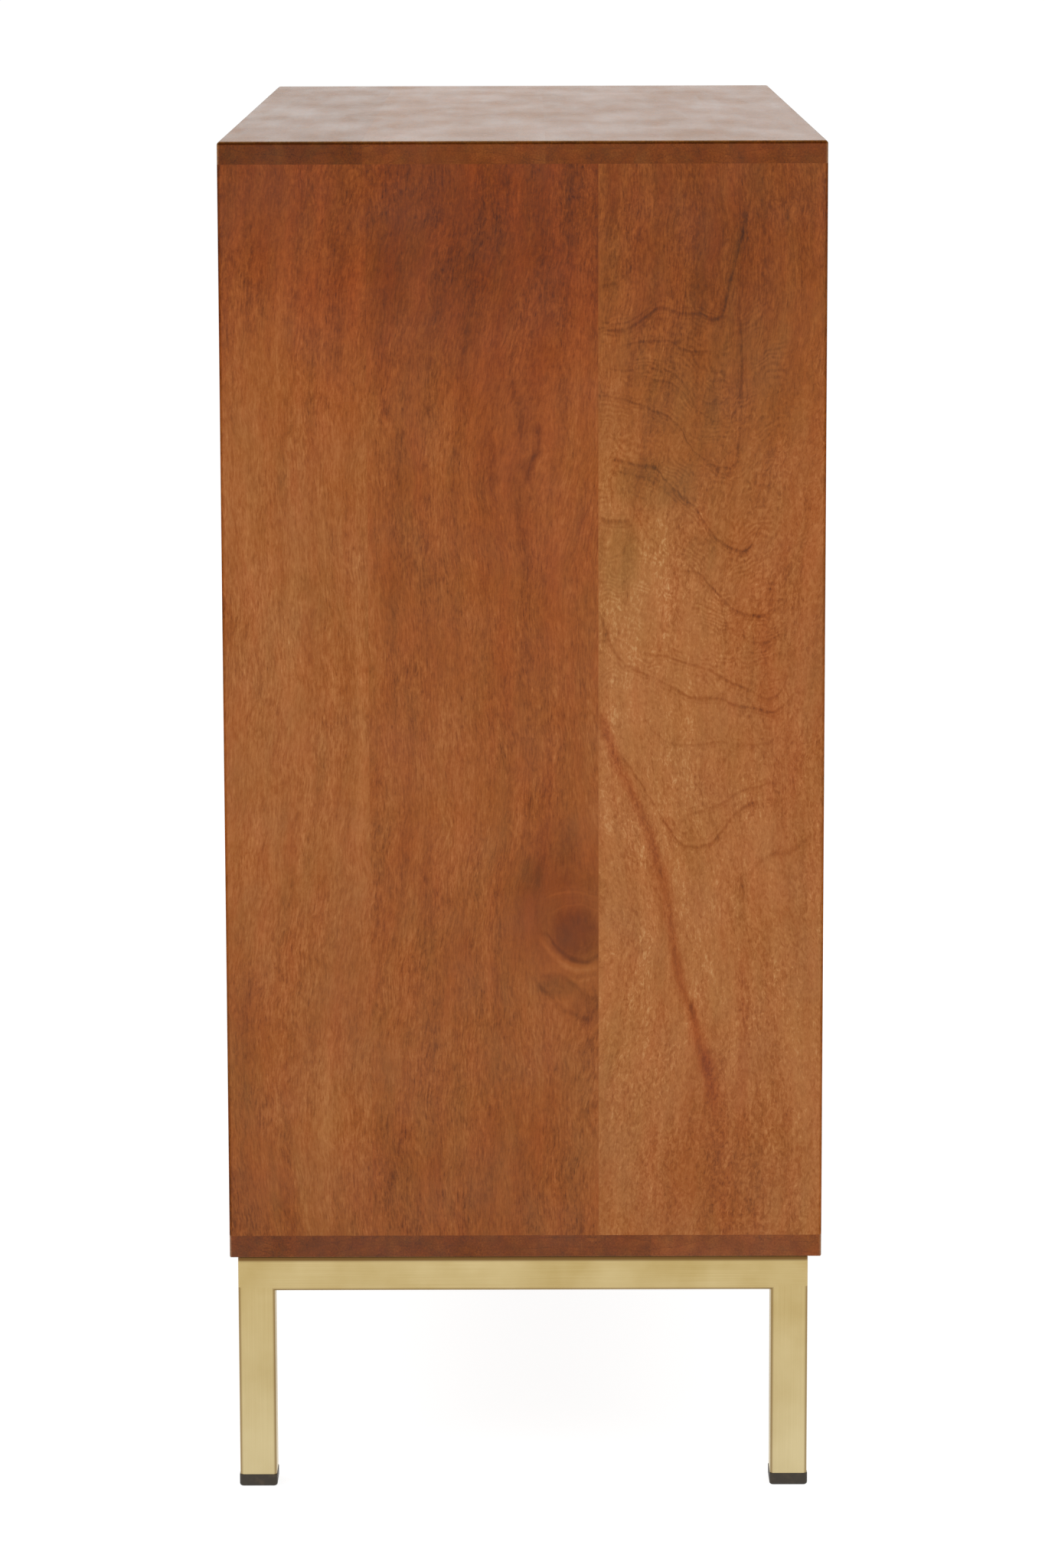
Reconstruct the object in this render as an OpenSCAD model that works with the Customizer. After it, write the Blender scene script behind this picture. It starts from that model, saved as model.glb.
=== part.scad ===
// Sideboard: two drawers over two doors in a wooden carcass, on a welded base of square tube.
// Millimetres. The origin is on the floor, midway along and midway from the back to the pulls' lips.
// +X runs to the right along the front, +Y runs to the back and +Z is up.
// Doors, drawers, decks and shelves are drawn on the right, and the left-hand ones are their mirror image.

/* [Carcass] */
// Length of the carcass along its front
body_w = 900; // [760:10:1200]
// Depth of the carcass from front to back
body_d = 400; // [360:5:460]
// Height of the carcass without its base
body_h = 750; // [680:5:900]
// Thickness of the top, bottom and end boards
board_t = 15; // [13:1:20]
// Thickness of the upright between the two halves
divider_t = 15; // [14:1:20]
// Thickness of the deck under each drawer
deck_t = 15; // [13:1:20]
// Depth of the housings that hold the decks
housing_d = 4; // [3:0.5:5]
// Radius of the carcass's upright corners
corner_r = 3; // [1:0.5:5]
// Radius that eases the upper edges of the top board
top_ease = 2.5; // [1:0.5:4]
// Radius that eases the lower edges of the bottom board
bottom_ease = 0.8; // [0.4:0.2:3]
// Thickness of the plywood back
back_t = 5; // [4:0.5:8]
// Width of the rebate that the back sits in
rebate_w = 8; // [6:0.5:10]

/* [Base frame] */
// Height of the base from the floor to the carcass
base_h = 162; // [120:1:220]
// Outside width of the square tube
tube_w = 25; // [20:1:32]
// Wall of the square tube
tube_wall = 1.5; // [1:0.1:2.5]
// Outside corner radius of the tube
tube_r = 2.5; // [2:0.1:4]
// Distance of the base from the front edge
base_in_front = 4.5; // [2:0.5:30]
// Distance of the base from the back edge
base_in_back = 8; // [2:1:30]
// Distance of the base from each end
base_in_end = 6; // [2:1:40]
// Height of a foot cap below the tube
cap_h = 8.5; // [5:0.5:15]
// Length of a foot cap's plug inside the tube
plug_h = 16; // [10:1:30]
// How far a foot cap stands proud of the tube
cap_proud = 0.4; // [0.2:0.1:1]
// Radius of the weld fillet inside each corner of the frame
weld_r = 1.5; // [1:0.5:3]
// Length of a fixing tab along its rail
tab_w = 34; // [24:1:50]
// Reach of a fixing tab from its rail
tab_reach = 24; // [18:1:40]
// Thickness of a fixing tab
tab_t = 3; // [2:0.5:5]

/* [Doors] */
// Thickness of the doors
door_t = 18; // [15:1:22]
// Gap around the doors and the drawer fronts
gap = 2; // [1.8:0.1:3]
// Pivot's distance from the door's hinge edge
pivot_in = 12; // [11:0.5:16]
// Pivot's distance behind the door's face
pivot_deep = 7; // [6:0.5:8]
// Diameter of the pivot pins
pin_d = 6; // [4:0.5:6]
// Length of a pivot pin inside its socket
pin_l = 11; // [8:1:16]
// Outside diameter of a door's pivot socket
socket_d = 9; // [8.5:0.5:10]
// Air above the pin in a door's pivot socket
socket_air = 3; // [1:0.5:6]
// Length of a pivot plate
plate_l = 40; // [34:1:60]
// Width of a pivot plate
plate_w = 10; // [9:0.5:12]
// Thickness of a pivot plate
plate_t = 2; // [1.5:0.5:3]
// Height of a door batten
batten_h = 45; // [30:1:70]
// Thickness of a door batten
batten_t = 12; // [8:1:14]
// Distance of the battens from the door's top and bottom
batten_in = 70; // [40:1:120]
// Distance of a batten's ends from the door's edges
batten_short = 45; // [40:1:70]
// Length of a magnetic catch
catch_l = 44; // [36:1:60]
// Depth of a magnetic catch
catch_w = 16; // [12:1:20]
// Height of a magnetic catch
catch_h = 13; // [10:1:16]
// Length of a strike plate
strike_l = 36; // [24:1:40]
// Thickness of a strike plate
strike_t = 1.5; // [1:0.5:2]
// Height of a strike plate
strike_h = 10; // [8:1:14]
// Distance of a catch's middle from the door's free edge
catch_in = 50; // [30:1:90]

/* [Drawers] */
// Height of the drawer openings
drawer_open_h = 140; // [110:1:180]
// Thickness of the drawer fronts
front_t = 18; // [15:1:22]
// Thickness of the drawer sides and back
side_t = 12; // [11:1:15]
// Thickness of the drawer bottoms
drawer_bottom_t = 5; // [3:0.5:8]
// Clear height between a drawer box and the top board
drawer_head = 17; // [14:1:40]
// Height of a drawer box above its deck
drawer_box_up = 5; // [2:0.5:10]
// Clear space behind a closed drawer
drawer_back_gap = 20; // [8:1:60]
// Depth of the grooves that hold the drawer bottoms
bottom_groove = 6; // [3:0.5:7]
// Height of a drawer bottom above the box's lower edge
bottom_up = 12; // [8:1:20]
// Depth of a side's housing in the drawer front
side_housing = 6; // [4:0.5:9]
// Number of fingers in a drawer's back corners
finger_n = 7; // [5:2:11]
// Gap between a drawer side and the wall beside it
side_gap = 2; // [1:0.5:3]
// Height of the runners
runner_h = 16; // [12:1:22]
// Depth of the runner's groove in a drawer side
runner_groove = 5; // [4:0.5:6]
// Width of a drawer stop
stop_w = 30; // [20:1:50]
// Length of a drawer stop
stop_l = 80; // [50:1:140]
// How far a drawer stop hangs below the drawer's top edge
stop_catch = 8; // [5:1:12]

/* [Pulls] */
// Length of a pull
pull_l = 90; // [60:5:160]
// Projection of a pull in front of its door or drawer
pull_out = 10; // [8:1:16]
// Width of a pull's lip
pull_lip = 10; // [8:1:16]
// Width of the flange that a pull is screwed down by
pull_flange = 13; // [12:0.5:14]
// Thickness of a pull
pull_t = 1.5; // [1.2:0.1:2.5]
// Distance of a door pull's middle below the door's top
pull_drop = 170; // [120:5:300]

/* [Shelves] */
// Thickness of the shelves
shelf_t = 15; // [12:1:20]
// Height of the shelves above the cupboard floor
shelf_up = 275; // [180:5:320]
// Distance of a shelf's front edge behind the carcass's front
shelf_in = 50; // [42:1:120]
// Width of a shelf support
support_w = 12; // [8:1:18]
// Thickness of a shelf support's leaves
support_t = 2; // [1.5:0.1:3]
// Diameter of a shelf support's pin
support_pin_d = 5; // [4:0.5:6]
// Depth of a shelf support's pin in its wall
support_bite = 6; // [4:0.5:6.5]

/* [Fasteners] */
// Diameter of the carcass dowels
dowel_d = 8; // [6:0.5:8]
// Length of the carcass dowels
dowel_l = 30; // [24:1:50]
// Depth of a dowel in the top or bottom board
dowel_bite = 9; // [6:0.5:10]
// Diameter of the screws that hold the base
base_screw_d = 5; // [4:0.5:6]
// Diameter of the small wood screws
screw_d = 3; // [2.5:0.1:3.5]

/* [Hidden] */
$fn = 48;

// Colours of the stained wood, the plywood, the brass finish and the small parts
wood = "#9a5a34";
wood_end = "#7d452a";
ply = "#a5683f";
brass = "#c9b077";
steel = "#b9bcc0";
black = "#33312f";
cream = "#d8d2c2";

// Clearances: a running pin, a dowel or screw in its hole, a panel in its rebate
pin_fit = 0.05;
hole_fit = 0.05;
panel_fit = 0.5;
// Clearances of a closing face, of the runners up and sideways, of a shelf beside its walls
close_gap = 0.3;
runner_fit = 0.3;
runner_side_fit = 0.5;
shelf_gap = 1;
// How far a cutter reaches past the face that it opens
past = 1;
// Radii that ease the doors, drawer parts, battens and small blocks
leaf_ease = 1.5;
box_ease = 1;
// Air at each end of a dowel
dowel_air = 1;
// Distance of the outermost dowels and screws from a board's edge
row_in = 45;
// Distance of the screws from the ends of a catch and of a pull
catch_screw_in = 6;
pull_screw_in = 10;
// Share of a board's thickness that a screw enters
bite = 0.6;

// Main planes of the carcass
x_end = body_w / 2;
x_in = x_end - board_t;
x_div = divider_t / 2;
y_front = (pull_out - body_d) / 2;
y_back = y_front + body_d;
y_ply = y_back - back_t;
z_floor = base_h + board_t;
z_top = base_h + body_h;
z_ceiling = z_top - board_t;
deck_top = z_ceiling - drawer_open_h;
deck_under = deck_top - deck_t;

// Places of the base's legs
leg_x = x_end - base_in_end - tube_w / 2;
leg_y = [y_front + base_in_front + tube_w / 2, y_back - base_in_back - tube_w / 2];
// Fixing tabs along the front and back rails, and along the end rails
long_tab_x = body_w / 4;
end_tab_y = (leg_y[0] + leg_y[1]) / 2;
fixing_screw_l = tab_t + board_t * bite;

// Right-hand door and its pivot
door_lo = [x_div + gap, y_front, z_floor + gap];
door_hi = [x_in - gap, y_front + door_t, deck_under - gap];
pivot = [door_hi.x - pivot_in, y_front + pivot_deep];
collar_h = gap - close_gap;
socket_h = pin_l + socket_air;
batten_z = [door_lo.z + batten_in, door_hi.z - batten_in - batten_h];
catch_x = door_lo.x + catch_in;
catch_y = door_hi.y + strike_t + close_gap;
strike_z = door_hi.z - strike_h - leaf_ease;

// Right-hand drawer
front_lo = [x_div + gap, y_front, deck_top + gap];
front_hi = [x_in - gap, y_front + front_t, z_ceiling - gap];
box_x = [x_div + side_gap, x_in - side_gap];
box_y = y_ply - drawer_back_gap;
box_z = deck_top + drawer_box_up;
box_z1 = z_ceiling - drawer_head;
drawer_box_h = box_z1 - box_z;
drawer_mid = (front_lo.x + front_hi.x) / 2;
bottom_z = box_z + bottom_up;
runner_z = box_z + drawer_box_h / 2 - runner_h / 2;
runner_t = side_gap + runner_groove - runner_side_fit;
runner_y = [front_hi.y + gap, y_ply - gap];
stop_y = front_hi.y + close_gap;
stop_h = z_ceiling - box_z1 + stop_catch;

// Right-hand shelf
shelf_lo = [x_div + shelf_gap, y_front + shelf_in, z_floor + shelf_up];
shelf_hi = [x_in - shelf_gap, y_ply - shelf_gap, shelf_lo.z + shelf_t];

// Lengths of the screws in the battens, strikes, stops, catches, runners, back, pivot plates and pulls
batten_screw_l = batten_t + door_t * bite;
strike_screw_l = strike_t + door_t * bite;
stop_screw_l = stop_h + board_t * bite;
catch_screw_l = catch_h + deck_t * bite;
runner_screw_l = runner_t + 6;
back_screw_l = back_t + 14;
plate_screw_l = 12;
pull_screw_l = 14;

// Values spread evenly from a to b
function spread(a, b, n) = [for (i = [0:n - 1]) a + (b - a) * i / (n - 1)];

// Quarter circle of points round (x, y) from angle a
function quarter(x, y, r, a, n) =
    [for (i = [0:n]) [x + r * cos(a + 90 * i / n), y + r * sin(a + 90 * i / n)]];

// Outline of a w by h rectangle from the origin, its corners rounded by r above and by low below
function soft_outline(w, h, r, low, n = 4) = concat(
    quarter(w - r, h - r, r, 0, n), quarter(r, h - r, r, 90, n),
    quarter(low, low, low, 180, n), quarter(w - low, low, low, 270, n));

// Rows of dowels and screws along the depth and the edges of the back
end_dowel_y = spread(y_front + row_in, y_ply - row_in, 4);
divider_dowel_y = spread(y_front + row_in, y_ply - row_in, 3);
back_screw_x = spread(-x_in + row_in, x_in - row_in, 5);
back_screw_z = spread(z_floor + row_in * 2, z_ceiling - row_in * 2, 4);

// Puts a right-hand piece on the right (1) or its mirror image on the left (-1)
module on_side(s) {
    if (s > 0) children();
    else mirror([1, 0, 0]) children();
}

module on_both_sides() {
    for (s = [1, -1]) on_side(s) children();
}

module box(lo, hi) {
    translate(lo) cube(hi - lo);
}

// Block with its upright edges rounded by side, its upper edges by upper and its lower ones by lower
module eased_box(lo, hi, side, upper, lower) {
    size = hi - lo;
    translate(lo) intersection() {
        linear_extrude(size.z) polygon(soft_outline(size.x, size.y, side, side));
        translate([0, size.y, 0]) rotate([90, 0, 0])
            linear_extrude(size.y) polygon(soft_outline(size.x, size.z, upper, lower));
        rotate([90, 0, 90]) linear_extrude(size.x) polygon(soft_outline(size.y, size.z, upper, lower));
    }
}

module soft_box(lo, hi, r) {
    eased_box(lo, hi, r, r, r);
}

// Board of the carcass, eased only where it lies on the outside of the glued-up case
module case_board(lo, hi) {
    intersection() {
        eased_box([-x_end, y_front, base_h], [x_end, y_back, z_top], corner_r, top_ease, bottom_ease);
        box(lo, hi);
    }
}

// Countersunk wood screw driven along -Z, its head's top at the origin
module screw(d, l) {
    head_h = d * 0.5;
    slot_w = d * 0.25;
    difference() {
        union() {
            translate([0, 0, -head_h]) cylinder(h = head_h, r1 = d / 2, r2 = d);
            translate([0, 0, -l + d]) cylinder(h = l - d - head_h, d = d);
            translate([0, 0, -l]) cylinder(h = d, r1 = d * 0.1, r2 = d / 2);
        }
        for (a = [0, 90]) rotate([0, 0, a])
            translate([-d * 0.6, -slot_w / 2, -head_h * 0.6]) cube([d * 1.2, slot_w, head_h]);
    }
}

// Hole for that screw, open above its head
module screw_hole(d, l) {
    head_h = d * 0.5;
    translate([0, 0, -head_h]) cylinder(h = head_h, r1 = d / 2 + hole_fit, r2 = d + hole_fit);
    translate([0, 0, -past / 100]) cylinder(h = past, r = d + hole_fit);
    translate([0, 0, -l - hole_fit]) cylinder(h = l + hole_fit, d = d + 2 * hole_fit);
}

// A screw, or its hole, with its head at a point and turned to the way it is driven
module put(at, turn, d, l, hole) {
    translate(at) rotate(turn) {
        if (hole) screw_hole(d, l);
        else screw(d, l);
    }
}

// Turns that drive a screw down, up, towards +X, towards -X and towards -Y
drive_down = [0, 0, 0];
drive_up = [180, 0, 0];
drive_right = [0, -90, 0];
drive_left = [0, 90, 0];
drive_front = [-90, 0, 0];

// Base frame: a mitred ring of square tube under the carcass, with a leg welded under each corner

ring_lo = [-leg_x - tube_w / 2, leg_y[0] - tube_w / 2];
ring_hi = [leg_x + tube_w / 2, leg_y[1] + tube_w / 2];
ring_size = ring_hi - ring_lo;
z_ring = base_h - tube_w;

// Outline of the square tube, centred, drawn in by inset
module tube_outline(inset = 0) {
    w = tube_w - 2 * inset;
    r = max(tube_r - inset, 0.5);
    translate([-w / 2, -w / 2]) polygon(soft_outline(w, w, r, r, 6));
}

module tube_wall_outline() {
    difference() {
        tube_outline();
        tube_outline(tube_wall);
    }
}

module leg(sx, iy) {
    color(brass) translate([sx * leg_x, leg_y[iy], cap_h])
        linear_extrude(z_ring - cap_h) tube_wall_outline();
}

// Bar of the given outline along +X from the origin, mitred towards +Y at both ends
module mitred_bar(l) {
    intersection() {
        translate([0, tube_w / 2, tube_w / 2]) rotate([90, 0, 90]) linear_extrude(l) children();
        linear_extrude(tube_w) polygon([[0, 0], [l, 0], [l - tube_w, tube_w], [tube_w, tube_w]]);
    }
}

// Keeps what lies inside the ring's plan, whose corners are ground round
module in_ring_plan() {
    intersection() {
        children();
        translate([ring_lo.x, ring_lo.y, z_ring]) linear_extrude(tube_w)
            polygon(soft_outline(ring_size.x, ring_size.y, tube_r, tube_r, 6));
    }
}

// Rail along the front (0) or the back (1), of the child outline
module long_bar(iy) {
    translate([0, iy == 0 ? ring_lo.y : ring_hi.y, z_ring]) mirror([0, iy, 0])
        translate([ring_lo.x, 0, 0]) mitred_bar(ring_size.x) children();
}

// Rail along the left (-1) or the right (1) end, of the child outline
module end_bar(sx) {
    translate([sx < 0 ? ring_lo.x : ring_hi.x, 0, z_ring]) mirror([sx < 0 ? 0 : 1, 0, 0])
        translate([0, ring_hi.y, 0]) rotate([0, 0, -90]) mitred_bar(ring_size.y) children();
}

module long_rail(iy) {
    color(brass) in_ring_plan() long_bar(iy) tube_wall_outline();
}

module end_rail(sx) {
    color(brass) in_ring_plan() end_bar(sx) tube_wall_outline();
}

// Bead in the angle between a leg's face and the ring, on the leg's side that faces +X
module weld_bead() {
    l = tube_w - 2 * tube_r;
    translate([tube_w / 2, l / 2, 0]) rotate([90, 0, 0]) linear_extrude(l) difference() {
        translate([0, -weld_r]) square(weld_r);
        translate([weld_r, -weld_r]) circle(weld_r);
    }
}

// Weld metal round the top of each leg: ground flush outside, left as a small fillet inside
module frame_welds() {
    color(brass) for (sx = [-1, 1], iy = [0, 1]) {
        difference() {
            translate([sx * leg_x, leg_y[iy], z_ring]) linear_extrude(tube_r) tube_outline();
            long_bar(iy) tube_outline();
            end_bar(sx) tube_outline();
        }
        translate([sx * leg_x, leg_y[iy], z_ring]) {
            rotate([0, 0, sx > 0 ? 180 : 0]) weld_bead();
            rotate([0, 0, iy == 0 ? 90 : -90]) weld_bead();
        }
    }
}

// Places of the fixing tabs: the point on the rail's inner face and the turn away from it
tab_places = [
    for (s = [-1, 1]) [[s * long_tab_x, leg_y[0] + tube_w / 2], 0],
    for (s = [-1, 1]) [[s * long_tab_x, leg_y[1] - tube_w / 2], 180],
    [[leg_x - tube_w / 2, end_tab_y], 90],
    [[-leg_x + tube_w / 2, end_tab_y], -90]
];

// Tabs level with the top of the ring, each welded over its rail's rounded edge
module fixing_tabs() {
    lap = tube_r * 0.3;
    color(brass) for (p = tab_places)
        translate([p[0].x, p[0].y, base_h]) rotate([0, 0, p[1]]) difference() {
            translate([-tab_w / 2, -lap, -tab_t]) cube([tab_w, tab_reach + lap, tab_t]);
            translate([-tab_w, -tube_w / 2, -tube_w / 2]) rotate([90, 0, 90])
                linear_extrude(2 * tab_w) tube_outline();
            translate([0, tab_reach / 2, -tab_t - past])
                cylinder(h = tab_t + 2 * past, d = base_screw_d + 2 * hole_fit);
        }
}

// The pan-headed screws that pull the carcass down on the base, or their pilot holes
module fixing_screw_set(hole = false) {
    head_h = base_screw_d * 0.6;
    for (p = tab_places)
        translate([p[0].x, p[0].y, base_h - tab_t]) rotate([0, 0, p[1]]) translate([0, tab_reach / 2, 0]) {
            if (hole) cylinder(h = fixing_screw_l + hole_fit, d = base_screw_d + 2 * hole_fit);
            else {
                cylinder(h = fixing_screw_l, d = base_screw_d);
                translate([0, 0, -head_h]) cylinder(h = head_h, d = base_screw_d * 1.9);
            }
        }
}

module foot_caps() {
    w = tube_w + 2 * cap_proud;
    plug_w = tube_w - 2 * tube_wall - 2 * hole_fit;
    color(black) for (sx = [-1, 1], iy = [0, 1])
        translate([sx * leg_x, leg_y[iy], 0]) {
            intersection() {
                soft_box([-w / 2, -w / 2, 0], [w / 2, w / 2, 2 * cap_h], tube_r - cap_proud);
                box([-w / 2, -w / 2, 0], [w / 2, w / 2, cap_h]);
            }
            translate([-plug_w / 2, -plug_w / 2, cap_h])
                linear_extrude(plug_h) polygon(soft_outline(plug_w, plug_w, tube_r, tube_r));
        }
}

// Carcass

// Dowels that cross the joints above and below an upright at x, or their holes
module dowel_row(x, ys, grow = 0, air = 0) {
    for (y = ys, m = [0, 1])
        translate([x, y, m == 0 ? z_floor : z_ceiling]) mirror([0, 0, m])
            translate([0, 0, -dowel_bite - air])
                cylinder(h = dowel_l + 2 * air, d = dowel_d + 2 * grow);
}

module all_dowels(grow = 0, air = 0) {
    for (s = [-1, 1]) dowel_row(s * (x_end - board_t / 2), end_dowel_y, grow, air);
    dowel_row(0, divider_dowel_y, grow, air);
}

// Space that the back panel is let into
module back_rebate() {
    box([-x_in - rebate_w, y_ply, z_floor - rebate_w],
        [x_in + rebate_w, y_back + past, z_ceiling + rebate_w]);
}

module top_board() {
    color(wood_end) difference() {
        case_board([-x_end, y_front, z_ceiling], [x_end, y_back, z_top]);
        back_rebate();
        all_dowels(hole_fit, dowel_air);
        on_both_sides() stop_screws(true);
        back_screws(true);
    }
}

module bottom_board() {
    color(wood_end) difference() {
        case_board([-x_end, y_front, base_h], [x_end, y_back, z_floor]);
        back_rebate();
        all_dowels(hole_fit, dowel_air);
        fixing_screw_set(true);
        on_both_sides() {
            pivot_plate_space(0);
            plate_screws(true, 0);
        }
        back_screws(true);
    }
}

// Right-hand end board
module end_board() {
    color(wood) difference() {
        case_board([x_in, y_front, z_floor], [x_end, y_back, z_ceiling]);
        back_rebate();
        box([x_in - past, y_front - past, deck_under], [x_in + housing_d, y_ply + past, deck_top]);
        dowel_row(x_end - board_t / 2, end_dowel_y, hole_fit, dowel_air);
        outer_support_holes();
        outer_runner_screws(true);
        back_screws(true);
    }
}

module centre_divider() {
    color(wood) difference() {
        box([-x_div, y_front, z_floor], [x_div, y_ply, z_ceiling]);
        dowel_row(0, divider_dowel_y, hole_fit, dowel_air);
        on_both_sides() {
            box([x_div - housing_d, y_front - past, deck_under], [x_div + past, y_ply + past, deck_top]);
            inner_support_holes();
            inner_runner_screws(true);
        }
    }
}

// Right-hand deck, let into the end board and the divider
module deck() {
    color(wood) difference() {
        box([x_div - housing_d, y_front, deck_under], [x_in + housing_d, y_ply, deck_top]);
        pivot_plate_space(1);
        plate_screws(true, 1);
        catch_screws(true);
    }
}

module back_panel() {
    w = x_in + rebate_w - panel_fit;
    color(ply) difference() {
        box([-w, y_ply, z_floor - rebate_w + panel_fit], [w, y_back, z_ceiling + rebate_w - panel_fit]);
        back_screws(true);
    }
}

// Screws round the edge of the back, or their holes
module back_screws(hole = false) {
    in = rebate_w / 2;
    for (x = back_screw_x, z = [z_floor - in, z_ceiling + in])
        put([x, y_back, z], drive_front, screw_d, back_screw_l, hole);
    for (s = [-1, 1], z = back_screw_z)
        put([s * (x_in + in), y_back, z], drive_front, screw_d, back_screw_l, hole);
}

// Shelves

module shelf() {
    color(wood) soft_box(shelf_lo, shelf_hi, box_ease);
}

support_y = [shelf_lo.y + row_in, shelf_hi.y - row_in];

// Angle under a shelf's edge, whose wall is the plane x = 0 with the pin entering it along +X
module support() {
    box([-support_t, -support_w / 2, -support_w], [0, support_w / 2, 0]);
    box([-support_w, -support_w / 2, -support_t], [0, support_w / 2, 0]);
    translate([0, 0, -support_w / 2]) rotate([0, 90, 0]) cylinder(h = support_bite, d = support_pin_d);
}

module support_hole() {
    translate([-past, 0, -support_w / 2]) rotate([0, 90, 0])
        cylinder(h = past + support_bite + hole_fit, d = support_pin_d + 2 * hole_fit);
}

module at_outer_wall() {
    for (y = support_y) translate([x_in, y, shelf_lo.z]) children();
}

module at_inner_wall() {
    for (y = support_y) translate([x_div, y, shelf_lo.z]) mirror([1, 0, 0]) children();
}

module outer_support_holes() {
    at_outer_wall() support_hole();
}

module inner_support_holes() {
    at_inner_wall() support_hole();
}

module shelf_supports() {
    color(brass) on_both_sides() {
        at_outer_wall() support();
        at_inner_wall() support();
    }
}

// Runners and stops

runner_screw_y = spread(runner_y[0] + row_in, runner_y[1] - row_in, 3);

// Screws of the runner on the end board, or their holes
module outer_runner_screws(hole = false) {
    for (y = runner_screw_y)
        put([x_in - runner_t, y, runner_z + runner_h / 2], drive_right, screw_d, runner_screw_l, hole);
}

// Screws of the runner on the divider, or their holes
module inner_runner_screws(hole = false) {
    for (y = runner_screw_y)
        put([x_div + runner_t, y, runner_z + runner_h / 2], drive_left, screw_d, runner_screw_l, hole);
}

module runner_pair() {
    difference() {
        union() {
            box([x_in - runner_t, runner_y[0], runner_z], [x_in, runner_y[1], runner_z + runner_h]);
            box([x_div, runner_y[0], runner_z], [x_div + runner_t, runner_y[1], runner_z + runner_h]);
        }
        outer_runner_screws(true);
        inner_runner_screws(true);
    }
}

module drawer_runners() {
    color(wood) on_both_sides() runner_pair();
}

module stop_screws(hole = false) {
    for (y = [stop_y + stop_l / 4, stop_y + stop_l * 3 / 4])
        put([drawer_mid, y, z_ceiling - stop_h], drive_up, screw_d, stop_screw_l, hole);
}

// Block under the top board: it stops the drawer's front when it closes and its back when it opens
module stop_block() {
    difference() {
        box([drawer_mid - stop_w / 2, stop_y, z_ceiling - stop_h],
            [drawer_mid + stop_w / 2, stop_y + stop_l, z_ceiling]);
        stop_screws(true);
    }
}

module drawer_stops() {
    color(wood) on_both_sides() stop_block();
}

// Pivots and catches

// Calls its children on the cupboard floor (0) and, turned over, under the deck (1)
module at_pivot_level(m) {
    translate([0, 0, m == 0 ? z_floor : deck_under]) mirror([0, 0, m]) children();
}

plate_from = pivot.x - plate_l + plate_w;
plate_screw_x = [plate_from + plate_w * 0.6, plate_from + plate_w * 1.8];

module pivot_plate_space(m) {
    at_pivot_level(m) box([plate_from, pivot.y - plate_w / 2, -plate_t],
        [plate_from + plate_l, pivot.y + plate_w / 2, past]);
}

module plate_screws(hole, m) {
    at_pivot_level(m) for (x = plate_screw_x)
        put([x, pivot.y, 0], drive_down, screw_d, plate_screw_l, hole);
}

// Let-in plate with its collar and pin
module pivot_pin(m) {
    difference() {
        at_pivot_level(m) {
            box([plate_from, pivot.y - plate_w / 2, -plate_t],
                [plate_from + plate_l, pivot.y + plate_w / 2, 0]);
            translate([pivot.x, pivot.y, -plate_t / 2]) {
                cylinder(h = plate_t / 2 + collar_h, d = socket_d);
                cylinder(h = plate_t / 2 + gap + pin_l, d = pin_d);
            }
        }
        plate_screws(true, m);
    }
}

module door_pivots() {
    color(brass) {
        pivot_pin(0);
        pivot_pin(1);
    }
}

catch_screw_x = [catch_x - catch_l / 2 + catch_screw_in, catch_x + catch_l / 2 - catch_screw_in];

module catch_screws(hole = false) {
    for (x = catch_screw_x)
        put([x, catch_y + catch_w / 2, deck_under - catch_h], drive_up, screw_d, catch_screw_l, hole);
}

module door_catch() {
    color(cream) difference() {
        soft_box([catch_x - catch_l / 2, catch_y, deck_under - catch_h],
            [catch_x + catch_l / 2, catch_y + catch_w, deck_under], box_ease);
        catch_screws(true);
    }
}

// Every small screw that stays in the carcass
module cabinet_screws() {
    color(steel) on_both_sides() {
        stop_screws();
        plate_screws(false, 0);
        plate_screws(false, 1);
        catch_screws();
        outer_runner_screws();
        inner_runner_screws();
    }
}

// Pulls

// Section of a pull: a flange that reaches out of the edge, and a lip turned down round a soft bend
module pull_section() {
    translate([pull_t, -pull_t]) square([pull_out + pull_flange - pull_t, pull_t]);
    translate([0, -pull_lip]) square([pull_t, pull_lip - pull_t]);
    intersection() {
        translate([pull_t, -pull_t]) circle(pull_t);
        translate([0, -pull_t]) square(pull_t);
    }
}

// Pull along X, its edge's plane at z = 0 and the leaf's face at y = 0
module pull_bar() {
    translate([-pull_l / 2, -pull_out, 0]) rotate([90, 0, 90]) linear_extrude(pull_l) pull_section();
}

pull_screw_x = [-pull_l / 2 + pull_screw_in, pull_l / 2 - pull_screw_in];

// Screws through the flange, driven down, or their holes
module pull_screws(hole = false) {
    for (x = pull_screw_x) put([x, pull_flange * 0.6, 0], drive_down, screw_d, pull_screw_l, hole);
}

module pull_recess() {
    translate([-pull_l / 2, -past, -pull_t]) cube([pull_l, pull_flange + past, pull_t + past]);
}

// Puts a pull on the top edge of the drawer front
module at_drawer_pull() {
    translate([drawer_mid, y_front, front_hi.z]) children();
}

// Puts a pull on the free edge of the right-hand door
module at_door_pull() {
    translate([door_lo.x, y_front, door_hi.z - pull_drop]) rotate([0, -90, 0]) children();
}

module pull() {
    color(brass) difference() {
        pull_bar();
        pull_screws(true);
    }
}

// Right-hand door

module door_sockets() {
    color(brass) for (z = [door_lo.z, door_hi.z - socket_h])
        translate([pivot.x, pivot.y, z]) difference() {
            cylinder(h = socket_h, d = socket_d);
            translate([0, 0, -past]) cylinder(h = socket_h + 2 * past, d = pin_d + 2 * pin_fit);
        }
}

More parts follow.
